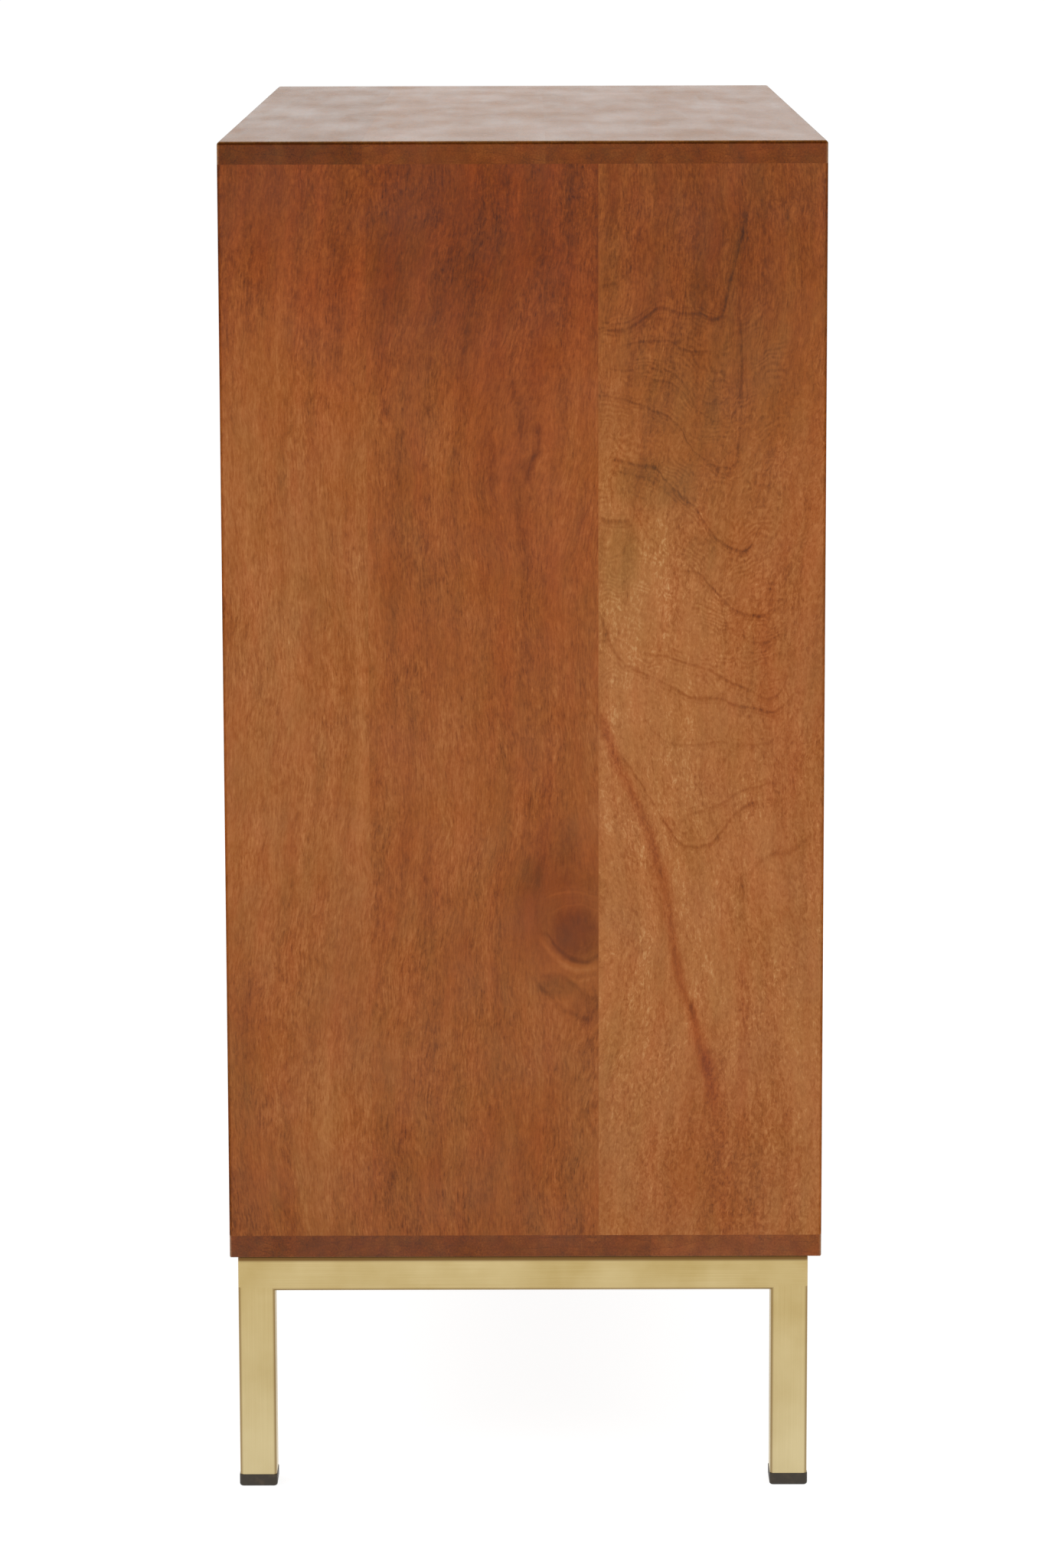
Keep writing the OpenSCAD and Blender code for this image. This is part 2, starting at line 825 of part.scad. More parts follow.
module socket_holes() {
    for (z = [door_lo.z - past, door_hi.z - socket_h])
        translate([pivot.x, pivot.y, z]) cylinder(h = socket_h + past, d = socket_d);
}

batten_x = [door_lo.x + batten_short, door_hi.x - batten_short];

module batten_screws(hole = false) {
    for (z = batten_z, x = spread(batten_x[0] + row_in / 2, batten_x[1] - row_in / 2, 3))
        put([x, door_hi.y + batten_t, z + batten_h / 2], drive_front, screw_d, batten_screw_l, hole);
}

module strike_screw(hole = false) {
    put([catch_x, door_hi.y + strike_t, strike_z + strike_h / 2], drive_front, screw_d,
        strike_screw_l, hole);
}

module door_panel() {
    color(wood) difference() {
        soft_box(door_lo, door_hi, leaf_ease);
        socket_holes();
        batten_screws(true);
        strike_screw(true);
        at_door_pull() {
            pull_recess();
            pull_screws(true);
        }
    }
}

module door_battens() {
    color(wood) difference() {
        for (z = batten_z)
            soft_box([batten_x[0], door_hi.y, z],
                [batten_x[1], door_hi.y + batten_t, z + batten_h], box_ease);
        batten_screws(true);
    }
}

module door_strike() {
    color(steel) difference() {
        translate([catch_x - strike_l / 2, door_hi.y, strike_z]) cube([strike_l, strike_t, strike_h]);
        strike_screw(true);
    }
}

module door_screws() {
    color(steel) {
        batten_screws();
        strike_screw();
        at_door_pull() pull_screws();
    }
}

// Right-hand drawer

// Plywood bottom, which is also the space that it takes out of the boards round it
module bottom_space() {
    box([box_x[0] + side_t - bottom_groove, front_hi.y - bottom_groove, bottom_z],
        [box_x[1] - side_t + bottom_groove, box_y - side_t + bottom_groove, bottom_z + drawer_bottom_t]);
}

// Fingers of a back corner that belong to the side (0) or the back (1)
module fingers(x0, x1, parity) {
    h = drawer_box_h / finger_n;
    for (i = [parity:2:finger_n - 1])
        box([x0, box_y - side_t, box_z + i * h], [x1, box_y, box_z + (i + 1) * h]);
}

// Groove that slides on a runner, in the face of a side at x
module runner_groove_at(x0, x1) {
    box([x0, y_front, runner_z - runner_fit], [x1, box_y + past, runner_z + runner_h + runner_fit]);
}

module drawer_side(x0, x1) {
    box([x0, front_hi.y - side_housing, box_z], [x1, box_y - side_t, box_z1]);
    fingers(x0, x1, 0);
}

module drawer_outer_side() {
    color(wood) difference() {
        drawer_side(box_x[1] - side_t, box_x[1]);
        runner_groove_at(box_x[1] - runner_groove, box_x[1] + past);
        bottom_space();
    }
}

module drawer_inner_side() {
    color(wood) difference() {
        drawer_side(box_x[0], box_x[0] + side_t);
        runner_groove_at(box_x[0] - past, box_x[0] + runner_groove);
        bottom_space();
    }
}

module drawer_back() {
    color(wood) difference() {
        union() {
            box([box_x[0] + side_t, box_y - side_t, box_z], [box_x[1] - side_t, box_y, box_z1]);
            fingers(box_x[0], box_x[0] + side_t, 1);
            fingers(box_x[1] - side_t, box_x[1], 1);
        }
        runner_groove_at(box_x[0] - past, box_x[0] + runner_groove);
        runner_groove_at(box_x[1] - runner_groove, box_x[1] + past);
        bottom_space();
    }
}

module drawer_front() {
    color(wood) difference() {
        soft_box(front_lo, front_hi, leaf_ease);
        for (x = [box_x[0], box_x[1] - side_t])
            box([x, front_hi.y - side_housing, box_z], [x + side_t, front_hi.y + past, box_z1]);
        bottom_space();
        at_drawer_pull() {
            pull_recess();
            pull_screws(true);
        }
    }
}

module drawer_bottom() {
    color(ply) bottom_space();
}

// What is drawn for each node

leg(-1, 0);  // front_left_leg
leg(1, 0);  // front_right_leg
leg(-1, 1);  // back_left_leg
leg(1, 1);  // back_right_leg
long_rail(0);  // front_rail
long_rail(1);  // back_rail
end_rail(-1);  // left_end_rail
end_rail(1);  // right_end_rail
frame_welds();
fixing_tabs();
color(steel) fixing_screw_set();  // fixing_screws
foot_caps();
top_board();
bottom_board();
on_side(-1) end_board();  // left_end_board
on_side(1) end_board();  // right_end_board
centre_divider();
on_side(-1) deck();  // left_deck
on_side(1) deck();  // right_deck
back_panel();
color(steel) back_screws();  // back_panel_screws
color(wood) all_dowels();  // carcass_dowels
on_side(-1) shelf();  // left_shelf
on_side(1) shelf();  // right_shelf
shelf_supports();
drawer_runners();
drawer_stops();
cabinet_screws();
on_side(-1) door_pivots();  // left_door_pivots
on_side(1) door_pivots();  // right_door_pivots
on_side(-1) door_catch();  // left_door_catch
on_side(1) door_catch();  // right_door_catch
on_side(-1) door_panel();  // left_door_panel
on_side(-1) door_battens();  // left_door_battens
on_side(-1) at_door_pull() pull();  // left_door_pull
on_side(-1) door_sockets();  // left_door_sockets
on_side(-1) door_strike();  // left_door_strike
on_side(-1) door_screws();  // left_door_screws
on_side(1) door_panel();  // right_door_panel
on_side(1) door_battens();  // right_door_battens
on_side(1) at_door_pull() pull();  // right_door_pull
on_side(1) door_sockets();  // right_door_sockets
on_side(1) door_strike();  // right_door_strike
on_side(1) door_screws();  // right_door_screws
on_side(-1) drawer_front();  // left_drawer_front
on_side(-1) drawer_outer_side();  // left_drawer_outer_side
on_side(-1) drawer_inner_side();  // left_drawer_inner_side
on_side(-1) drawer_back();  // left_drawer_back
on_side(-1) drawer_bottom();  // left_drawer_bottom
on_side(-1) at_drawer_pull() pull();  // left_drawer_pull
on_side(-1) at_drawer_pull() color(steel) pull_screws();  // left_drawer_screws
on_side(1) drawer_front();  // right_drawer_front
on_side(1) drawer_outer_side();  // right_drawer_outer_side
on_side(1) drawer_inner_side();  // right_drawer_inner_side
on_side(1) drawer_back();  // right_drawer_back
on_side(1) drawer_bottom();  // right_drawer_bottom
on_side(1) at_drawer_pull() pull();  // right_drawer_pull
on_side(1) at_drawer_pull() color(steel) pull_screws();  // right_drawer_screws
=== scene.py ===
"""Looks of a sideboard: red-brown mango wood under satin lacquer, on a welded base of brass-plated tube."""

import math

import bmesh
import bpy
import numpy as np
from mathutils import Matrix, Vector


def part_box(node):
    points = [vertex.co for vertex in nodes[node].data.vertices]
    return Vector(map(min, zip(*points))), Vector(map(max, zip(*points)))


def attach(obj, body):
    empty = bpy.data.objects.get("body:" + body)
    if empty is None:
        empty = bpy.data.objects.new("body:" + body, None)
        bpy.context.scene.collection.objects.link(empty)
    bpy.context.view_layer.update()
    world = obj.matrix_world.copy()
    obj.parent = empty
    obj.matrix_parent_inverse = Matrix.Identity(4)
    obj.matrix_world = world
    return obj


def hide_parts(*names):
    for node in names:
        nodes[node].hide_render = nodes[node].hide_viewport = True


MM = 0.001
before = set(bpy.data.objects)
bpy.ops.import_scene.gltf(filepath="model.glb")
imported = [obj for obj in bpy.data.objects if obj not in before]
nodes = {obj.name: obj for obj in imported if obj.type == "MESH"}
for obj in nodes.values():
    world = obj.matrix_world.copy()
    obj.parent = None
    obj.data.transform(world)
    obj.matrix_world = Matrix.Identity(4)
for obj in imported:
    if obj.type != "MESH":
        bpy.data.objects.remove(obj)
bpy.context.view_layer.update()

# Camera: 3.6 m from the right-hand end, which it looks at along -X, and 18 cm above the top
CAMERA_PLACE = (4.044, 0.0074, 1.0906)
CAMERA_TURN = (80.452, 0.155, 90.030)
CAMERA_LENS = 125.63
CAMERA_FILM = 36.0


def new_object(name, data):
    made = bpy.data.objects.new(name, data)
    bpy.context.scene.collection.objects.link(made)
    return made


def make_camera():
    data = bpy.data.cameras.new("camera")
    data.lens = CAMERA_LENS
    data.sensor_width = CAMERA_FILM
    camera = new_object("camera", data)
    camera.location = CAMERA_PLACE
    camera.rotation_euler = [math.radians(angle) for angle in CAMERA_TURN]
    bpy.context.scene.camera = camera


make_camera()

# Planes of the carcass, read from the frame, in metres
CASE_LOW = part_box("bottom_board")[0]
CASE_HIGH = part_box("top_board")[1]
Z_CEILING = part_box("top_board")[0].z
Z_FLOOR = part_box("bottom_board")[1].z
X_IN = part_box("right_end_board")[0].x
Y_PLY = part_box("centre_divider")[1].y
DECK_LOW, DECK_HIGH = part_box("right_deck")
REBATE = 8 * MM
HOUSING = DECK_HIGH.x - X_IN
CORNER_R = 3 * MM
TOP_EASE = 2.5 * MM

# Planes of the base
RING_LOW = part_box("left_end_rail")[0]
RING_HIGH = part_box("right_end_rail")[1]
TUBE_W = RING_HIGH.z - RING_LOW.z
TUBE_R = 2.5 * MM
CAP_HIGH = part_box("front_left_leg")[0].z
WELD_R = 1.5 * MM


# Meshes

SHARP_ANGLE = math.radians(32)
SAME_PLACE = 0.001 * MM


def spread(start, end, apart):
    """Evenly spaced values from start to end, at most so far apart."""
    count = max(math.ceil(abs(end - start) / apart), 1)
    return np.linspace(start, end, count + 1)


def arc(centre, radius, start, end, steps=6):
    """Points of a circular arc, its angles in degrees."""
    angle = np.radians(np.linspace(start, end, steps + 1))
    return np.stack([centre[0] + radius * np.cos(angle), centre[1] + radius * np.sin(angle)], axis=1)


def drawn_in(radius, away):
    """How far a quarter circle draws a shape in, at a distance from where it ends."""
    return radius - np.sqrt(np.maximum(radius ** 2 - np.maximum(radius - away, 0) ** 2, 0))


def ring_quads(rows, columns):
    """Corner numbers of the quads of a grid whose columns run right round the shape."""
    point = np.arange(rows * columns).reshape(rows, columns)
    point = np.concatenate([point, point[:, :1]], axis=1)
    corners = [point[:-1, :-1], point[:-1, 1:], point[1:, 1:], point[1:, :-1]]
    return np.stack(corners, axis=-1).reshape(-1, 4).tolist()


def end_faces(rows, columns, strips):
    """Both flat ends of such a grid: one face each, or strips of quads between the outline's halves."""
    last = (rows - 1) * columns
    if not strips:
        return [list(range(columns)), list(range(last, last + columns))]
    half = np.arange(columns // 2 - 1)
    corners = [half, half + 1, columns - 2 - half, columns - 1 - half]
    faces = np.stack(corners, axis=-1)
    return faces.tolist() + (faces + last).tolist()


def grid_of(x, y, z):
    """A grid of points from their coordinates, each a number, a row, a column or a whole grid."""
    return np.stack(np.broadcast_arrays(x, y, z), axis=-1)


def make_mesh(name, grids, strips=False):
    """One mesh of closed shapes, each a (rows, columns, 3) grid of points that is closed at its ends."""
    points = np.concatenate([grid.reshape(-1, 3) for grid in grids])
    faces = []
    start = 0
    for grid in grids:
        rows, columns = grid.shape[:2]
        found = ring_quads(rows, columns) + end_faces(rows, columns, strips)
        faces += [[start + corner for corner in face] for face in found]
        start += rows * columns
    mesh = bpy.data.meshes.new(name)
    mesh.from_pydata(points.tolist(), [], faces)
    work = bmesh.new()
    work.from_mesh(mesh)
    bmesh.ops.remove_doubles(work, verts=work.verts, dist=SAME_PLACE)
    bmesh.ops.dissolve_degenerate(work, edges=work.edges, dist=SAME_PLACE)
    bmesh.ops.recalc_face_normals(work, faces=work.faces)
    work.to_mesh(mesh)
    work.free()
    mesh.shade_smooth()
    mesh.set_sharp_from_angle(angle=SHARP_ANGLE)
    return mesh


def weigh_normals(piece, name):
    """Keeps flat faces flat beside their rounded edges."""
    even = piece.modifiers.new(name, "WEIGHTED_NORMAL")
    even.keep_sharp = True
    even.weight = 100


def make_piece(name, grids, body, material, replaced, strips=False):
    """A new piece in place of CAD nodes."""
    piece = new_object(name, make_mesh(name, grids, strips))
    piece.data.materials.append(material)
    weigh_normals(piece, "even_shading")
    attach(piece, body)
    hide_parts(*replaced)
    return piece


def plate_grid(outline, axis, start, end, steps=1):
    """A flat outline carried straight from start to end along an axis: 0, 1 or 2 for X, Y or Z."""
    places = [outline[None, :, 0], outline[None, :, 1]]
    places.insert(axis, np.linspace(start, end, steps + 1)[:, None])
    return grid_of(*places)


def rounded_square(centre, width, radius, steps=6):
    """Outline of a square with rounded corners, anticlockwise."""
    reach = width / 2 - radius
    corners = [(reach, reach), (-reach, reach), (-reach, -reach), (reach, -reach)]
    arcs = [arc(corner, radius, 90 * i, 90 * i + 90, steps) for i, corner in enumerate(corners)]
    return np.concatenate(arcs) + np.array(centre)


# Colours and nodes

def srgb(code):
    """A colour given as sRGB hex, in the linear values that the shaders take."""
    parts = [int(code[i:i + 2], 16) / 255 for i in (1, 3, 5)]
    linear = [part / 12.92 if part <= 0.04045 else ((part + 0.055) / 1.055) ** 2.4 for part in parts]
    return linear + [1.0]


class Value:
    """A node's output. Arithmetic with it adds math nodes to its tree."""

    def __init__(self, socket):
        self.socket = socket
        self.tree = socket.id_data

    def __add__(self, other):
        return calc("ADD", self, other)

    def __sub__(self, other):
        return calc("SUBTRACT", self, other)

    def __rsub__(self, other):
        return calc("SUBTRACT", other, self)

    def __mul__(self, other):
        return calc("MULTIPLY", self, other)

    def __truediv__(self, other):
        return calc("DIVIDE", self, other)


class Outputs:
    """A node's outputs, each found by its name or number."""

    def __init__(self, node):
        self.node = node

    def __getitem__(self, name):
        return Value(self.node.outputs[name])


def connect(inputs, links):
    """Sets inputs, each found by its name or number, to values of nodes, numbers or colours."""
    for name, given in links.items():
        if isinstance(given, Value):
            given.tree.links.new(given.socket, inputs[name])
        else:
            inputs[name].default_value = given


def add(kind, links=None, tree=None, **settings):
    """Adds a node to a tree, which need only be named where none of its links is a node's value."""
    links = links or {}
    if tree is None:
        tree = next(given.tree for given in links.values() if isinstance(given, Value))
    node = tree.nodes.new(kind)
    for name, setting in settings.items():
        setattr(node, name, setting)
    connect(node.inputs, links)
    return Outputs(node)


def calc(operation, *values):
    return add("ShaderNodeMath", dict(enumerate(values)), operation=operation)[0]


def times_plus(first, second, more):
    """The first value times the second, plus more, in one node."""
    return calc("MULTIPLY_ADD", first, second, more)


def remap(value, low, high, new_low=0.0, new_high=1.0, smooth=False):
    """A value moved from one range to another, and held inside it."""
    links = {0: value, 1: low, 2: high, 3: new_low, 4: new_high}
    return add("ShaderNodeMapRange", links, interpolation_type="SMOOTHSTEP" if smooth else "LINEAR")[0]


def blend(share, first, second):
    return add("ShaderNodeMix", {"Factor": share, "A": first, "B": second}, data_type="RGBA")["Result"]


def ramp(value, stops, interpolation="LINEAR"):
    """A colour ramp through stops of a place from 0 to 1 and a colour."""
    made = add("ShaderNodeValToRGB", {0: value})
    scale = made.node.color_ramp
    scale.interpolation = interpolation
    while len(scale.elements) < len(stops):
        scale.elements.new(1.0)
    for element, (position, colour) in zip(scale.elements, stops):
        element.position = position
        element.color = colour
    return made[0]


def curve(value, points):
    """A smooth curve through points from left to right, all from 0 to 1, and level beyond its ends."""
    made = add("ShaderNodeFloatCurve", {"Value": value})
    mapping = made.node.mapping
    mapping.extend = "HORIZONTAL"
    line = mapping.curves[0].points
    for place in points[2:]:
        line.new(*place)
    for point, place in zip(line, points):
        point.location = place
        point.handle_type = "AUTO_CLAMPED"
    mapping.update()
    return made[0]


def noise(place, size, detail=2.0, **more):
    """Noise from 0 to 1 whose features measure the size in millimetres: one, or three for X, Y and Z."""
    if not isinstance(size, (int, float)):
        scale = [1 / (length * MM) for length in size]
        place = add("ShaderNodeMapping", {0: place, "Scale": scale})[0]
        size = 1 / MM
    links = {"Vector": place, "Scale": 1 / (size * MM), "Detail": detail}
    return add("ShaderNodeTexNoise", {**links, **more})[0]


def object_place(tree):
    return add("ShaderNodeTexCoord", tree=tree)["Object"]


def facing(tree, axis):
    """How squarely a face looks along an axis: 1, or 0 where it runs along the axis."""
    return calc("ABSOLUTE", split(add("ShaderNodeTexCoord", tree=tree)["Normal"])[axis])


def carried(tree, name):
    """What the mesh of a piece carries by the name."""
    return add("ShaderNodeAttribute", tree=tree, attribute_name=name)["Fac"]


def split(vector):
    return add("ShaderNodeSeparateXYZ", {0: vector})


def join(x, y, z=0.0):
    return add("ShaderNodeCombineXYZ", {0: x, 1: y, 2: z})[0]


def vector_math(operation, links):
    return add("ShaderNodeVectorMath", links, operation=operation)


def bent_normal(height, strength, distance):
    """Normals for a relief: a height from 0 to 1 that stands for the distance in millimetres."""
    return add("ShaderNodeBump", {"Height": height, "Strength": strength, "Distance": distance * MM})[0]


def new_group(name, kind, socket, given, result):
    """A node group with one input and one output."""
    group = bpy.data.node_groups.new(name, kind)
    for label, way in ((given, "INPUT"), (result, "OUTPUT")):
        group.interface.new_socket(label, in_out=way, socket_type=socket)
    return group


def new_material(name):
    material = bpy.data.materials.new(name)
    material.use_nodes = True
    tree = material.node_tree
    return material, tree, tree.nodes["Principled BSDF"].inputs


# Mango wood, stained red-brown and lacquered satin. A tone from 0 to 1 runs from the darkest grain to the
# palest, a redness from olive brown through the plain colour at 0.5 to orange red.
WOOD_TONES = ("#421d06", "#75390c", "#9a5420", "#b4713c", "#d4a26c")
WOOD_RED = "#a24216"
WOOD_OLIVE = "#86602c"
PLAIN_TONES = ("#5c3a20", "#8c5f38", "#b27f4c", "#c69560", "#d9b07c")
# Mango grain is short and interlocked. Its pores are drawn at twice their width, or they wouldn't show.
STREAK = (7.5, 1.2, 1.2)
CURL = (3.8, 2.0, 2.0)
PORE = (8, 0.8, 0.8)
MOTTLE = (15, 5, 5)
CLOUD = (120, 11, 11)
# Patches where the streaks are crisp, and where the wood is redder
CRISP_PATCH = (60, 22, 22)
RED_PATCH = (48, 13, 13)
RING_SPACING = 7.5
STAVE = 120
# The lacquer film: how much of a clear coat it makes, and the size of its duller patches
COAT = 0.35
COAT_PATCH = (110, 45, 45)
# End grain is darker and redder, and the eased edges get painted shade. Then the most that a tint covers.
END_DARKER = 0.17
END_REDDER = 0.52
ARRIS_PAINTED_SHADE = 0.20
RED_MOST = 0.62
OLIVE_MOST = 0.6
# Tone, redness and place in the log of each stave, as the red, green and blue of a ramp
STAVE_TONES = [(0.44, 0.50, 0.10), (0.56, 0.58, 0.70), (0.50, 0.40, 0.35), (0.53, 0.62, 0.90),
               (0.46, 0.50, 0.55), (0.55, 0.42, 0.20), (0.51, 0.58, 0.80), (0.48, 0.47, 0.45)]


def log_place(tree, grain, across, start, stave, tones):
    """Object coordinates with X along the grain, Y across the stave from its middle and Z into the board,
    moved to another place in the log for each stave. Also the last two, and the stave's tone and redness."""
    place = split(object_place(tree))
    into = ({"X", "Y", "Z"} - {grain, across}).pop()
    count = (place[across] - start) / (stave * MM)
    off_middle = (calc("FRACT", count) - 0.5) * (stave * MM)
    turn = calc("FRACT", (calc("FLOOR", count) + 0.5) / len(tones))
    stops = [(i / len(tones), (*tone, 1.0)) for i, tone in enumerate(tones)]
    own = add("ShaderNodeSeparateColor", {0: ramp(turn, stops, "CONSTANT")})
    log = join(place[grain] + own[2] * 9.0, off_middle + own[2], place[into])
    return log, off_middle, place[into], own[0], own[1]


def growth_rings(log, off_middle, into):
    """Growth rings round a pith that runs under the board at a slant, so that they meet its face as arches:
    1 on a ring's dark line, falling off to 0."""
    slant = noise(join(split(log)[0], 0.0), 420, 1.0)
    depth = remap(slant, 0.2, 0.8, -20 * MM, 110 * MM) + into
    away = vector_math("LENGTH", {0: join(off_middle, depth)})["Value"]
    bend = remap(noise(log, 150), 0.0, 1.0, -30 * MM, 30 * MM)
    part = calc("FRACT", (away + bend) / (RING_SPACING * MM))
    line = remap(part, 0.0, 0.16, 1.0, 0.0, smooth=True)
    return calc("MAXIMUM", line, remap(part, 0.0, 1.0, 0.3, 0.0))


def with_patterns(own, parts):
    """A value of the board's own, moved up and down by patterns: each from 0 to 1, with its strength."""
    for pattern, strength in parts:
        own = times_plus(pattern - 0.5, strength, own)
    return own


def wood_grain(log, own_tone, own_red, curled=0.15, clear=1.0):
    """A board's own tone, moved by streaks, curls where the grain is curly, mottles, long clouds and dark
    pores, and its redness, moved by patches. All but the clouds fade where the grain isn't clear, as in
    a knot. Also gives the relief of the grain and the clouds, both from 0 to 1."""
    bow = join(0.0, remap(noise(log, 45), 0.0, 1.0, -4 * MM, 4 * MM))
    log = vector_math("ADD", {0: log, 1: bow})[0]
    streak = remap(noise(log, STREAK, 3.0, Roughness=0.6, Distortion=0.5), 0.26, 0.74)
    curl = remap(noise(log, CURL, 3.0, Roughness=0.6, Distortion=0.9), 0.26, 0.74)
    short = add("ShaderNodeMix", {0: curled, 2: streak, 3: curl})[0]
    crisp = remap(noise(log, CRISP_PATCH), 0.36, 0.64, 0.32, 0.54) * clear
    mottle = noise(log, MOTTLE, 2.0, Distortion=0.8)
    cloud = noise(log, CLOUD, 3.0)
    pore = remap(noise(log, PORE), 0.6, 0.74, smooth=True)
    tone = with_patterns(own_tone, ((short, crisp), (mottle, crisp * 0.6), (cloud, 0.34)))
    tone = tone - pore * (crisp * 0.3)
    red = with_patterns(own_red, ((noise(log, RED_PATCH, 3.0), 0.6),))
    return tone, red, streak - pore, cloud


def end_grain(tree, grain):
    """1 on faces cut square across the grain, 0 along it."""
    return remap(facing(tree, grain), 0.6, 0.95, smooth=True)


def finish_wood(tree, shader, tone, red, relief, cloud, end, tones=WOOD_TONES, coat=COAT):
    """Colours and lacquer. The relief, from 0 to 1, is the grain that shows through the thin film. End
    grain drinks more stain. The eased edges, where the mesh carries 1 as arris, get painted shade, and less
    coat and specular there hold back the sheen along them."""
    arris = carried(tree, "arris")
    # Real darker end grain, plus painted shade on the eased edges
    darker = end * END_DARKER + arris * ARRIS_PAINTED_SHADE
    red = red + end * END_REDDER
    tone = add("ShaderNodeMath", {0: tone, 1: darker}, operation="SUBTRACT", use_clamp=True)[0]
    colour = ramp(tone, [(i / (len(tones) - 1), srgb(code)) for i, code in enumerate(tones)])
    shade = tone * 1.1 + 0.45
    for tint, toward, most in ((WOOD_RED, 1.0, RED_MOST), (WOOD_OLIVE, 0.0, OLIVE_MOST)):
        tinted = vector_math("SCALE", {0: srgb(tint)[:3], "Scale": shade})[0]
        colour = blend(remap(red, 0.5, toward, 0.0, most), colour, tinted)
    patch = noise(object_place(tree), COAT_PATCH, 3.0)
    film = remap(arris, 0.0, 1.0, coat, 0.0) * remap(end, 0.0, 1.0, 1.0, 0.6)
    connect(shader, {
        "Base Color": colour,
        "Roughness": remap(cloud, 0.3, 0.7, 0.36, 0.46),
        "Normal": bent_normal(relief, 0.2, 0.1),
        "Specular IOR Level": remap(arris, 0.0, 1.0, 0.05, 0.01),
        "Coat Weight": film * remap(patch, 0.3, 0.7, 1.25, 0.78),
        "Coat Roughness": remap(patch, 0.3, 0.7, 0.21, 0.29)})


def mango_wood(name, grain, across, start, stave=STAVE, staves=STAVE_TONES, tones=WOOD_TONES, coat=COAT):
    """A board glued up from staves of slightly different tone, with faint arches."""
    material, tree, shader = new_material(name)
    log, off_middle, into, own_tone, own_red = log_place(tree, grain, across, start, stave, staves)
    end = end_grain(tree, grain)
    clear = remap(end, 0.0, 1.0, 1.0, 0.55)
    tone, red, relief, cloud = wood_grain(log, own_tone, own_red, clear=clear)
    ringed = remap(cloud, 0.35, 0.65, 0.01, 0.1)
    tone = tone - growth_rings(log, off_middle, into) * ringed
    finish_wood(tree, shader, tone, red, relief, cloud, end, tones, coat)
    return material


# Other materials

def plain_wood(name, grain, across):
    """Unstained hardwood of the hidden parts: pale, straight-grained, planed and oiled."""
    return mango_wood(name, grain, across, -1.0, 260, tones=PLAIN_TONES)


def plywood(name, grain, across, into, low, thick, plies=5):
    """Stained plywood: a peeled veneer with broad figure, its plies in turn dark and pale at the edges."""
    material, tree, shader = new_material(name)
    place = split(object_place(tree))
    log = join(place[grain], place[across], place[into])
    tone, red, relief, cloud = wood_grain(log, 0.56, 0.45)
    peel = calc("FRACT", noise(log, (520, 95, 95)) * 26.0)
    rings = remap(peel, 0.0, 0.5, 0.07, 0.0, smooth=True)
    ply = calc("FRACT", remap(place[into], low, low + thick, 0.0, plies / 2))
    dark_edge = calc("GREATER_THAN", ply, 0.5) * remap(facing(tree, into), 0.7, 0.4)
    finish_wood(tree, shader, tone - rings, red, relief, cloud, dark_edge)
    return material


# Brass-plated tube, belt-finished along its length and lacquered: a pale satin gold with faint scratches,
# drawn 0.6 mm wide, several times their real width, or they wouldn't show. The brass is deeper in tarnished
# patches. It is painted paler toward the floor, a painted reflection of the white floor, and painted brown
# at its rounded corners and under the board, a painted shade that stands for the dark wood mirrored there.
BRASS = "#cdb886"
# Painted reflection of the white floor, blended in more the nearer the floor
BRASS_PAINTED_FLOOR_REFLECTION = "#d4c9a3"
BRASS_DEEP = "#b59b61"
# Colour of the painted shade on the rounded corners and under the board
BRASS_PAINTED_SHADE = "#76572f"
SCRATCH = (90, 0.6)
TARNISH = 45
# How far below the ring's top the painted shade under the board's overhang begins and is full
PAINTED_SHADE_BAND = (5.5 * MM, 3 * MM)


def satin_brass(name, along):
    material, tree, shader = new_material(name)
    place = object_place(tree)
    size = [SCRATCH[1]] * 3
    size["XYZ".index(along)] = SCRATCH[0]
    lines = noise(place, size, 3.0, Roughness=0.65)
    cloud = noise(place, TARNISH, 3.0)
    deep = remap(cloud, 0.3, 0.7, 0.05, 0.8) + remap(lines, 0.3, 0.7, 0.0, 0.3)
    # Painted shade: brown on the rounded corners, for the dark reflections there, and in a band under the
    # board's overhang
    corner = carried(tree, "corner")
    height = split(place)["Z"]
    shade_below_board = remap(height, *[RING_HIGH.z - drop for drop in PAINTED_SHADE_BAND], smooth=True)
    shade_below_board = shade_below_board * calc("LESS_THAN", height, RING_HIGH.z)
    painted_shade = calc("MAXIMUM", corner * corner * 0.7, shade_below_board)
    colour = blend(deep, srgb(BRASS), srgb(BRASS_DEEP))
    # Painted reflection: the brass is painted paler toward the floor
    colour = blend(remap(height, 0.0, RING_HIGH.z, 0.5, 0.0), colour, srgb(BRASS_PAINTED_FLOOR_REFLECTION))
    connect(shader, {
        "Base Color": blend(painted_shade, colour, srgb(BRASS_PAINTED_SHADE)),
        "Roughness": remap(lines, 0.3, 0.7, 0.3, 0.4),
        "Normal": bent_normal(lines, 0.12, 0.05),
        "Metallic": 1.0})
    return material


def zinc_steel(name):
    """Zinc-plated steel: cool grey with a fine crystalline mottle."""
    material, tree, shader = new_material(name)
    links = {"Vector": object_place(tree), "Scale": 1 / (1.2 * MM)}
    crystals = add("ShaderNodeTexVoronoi", links)["Distance"]
    connect(shader, {
        "Base Color": blend(crystals, srgb("#c3c5c8"), srgb("#9fa2a6")),
        "Roughness": remap(crystals, 0.0, 1.0, 0.28, 0.45),
        "Metallic": 1.0})
    return material


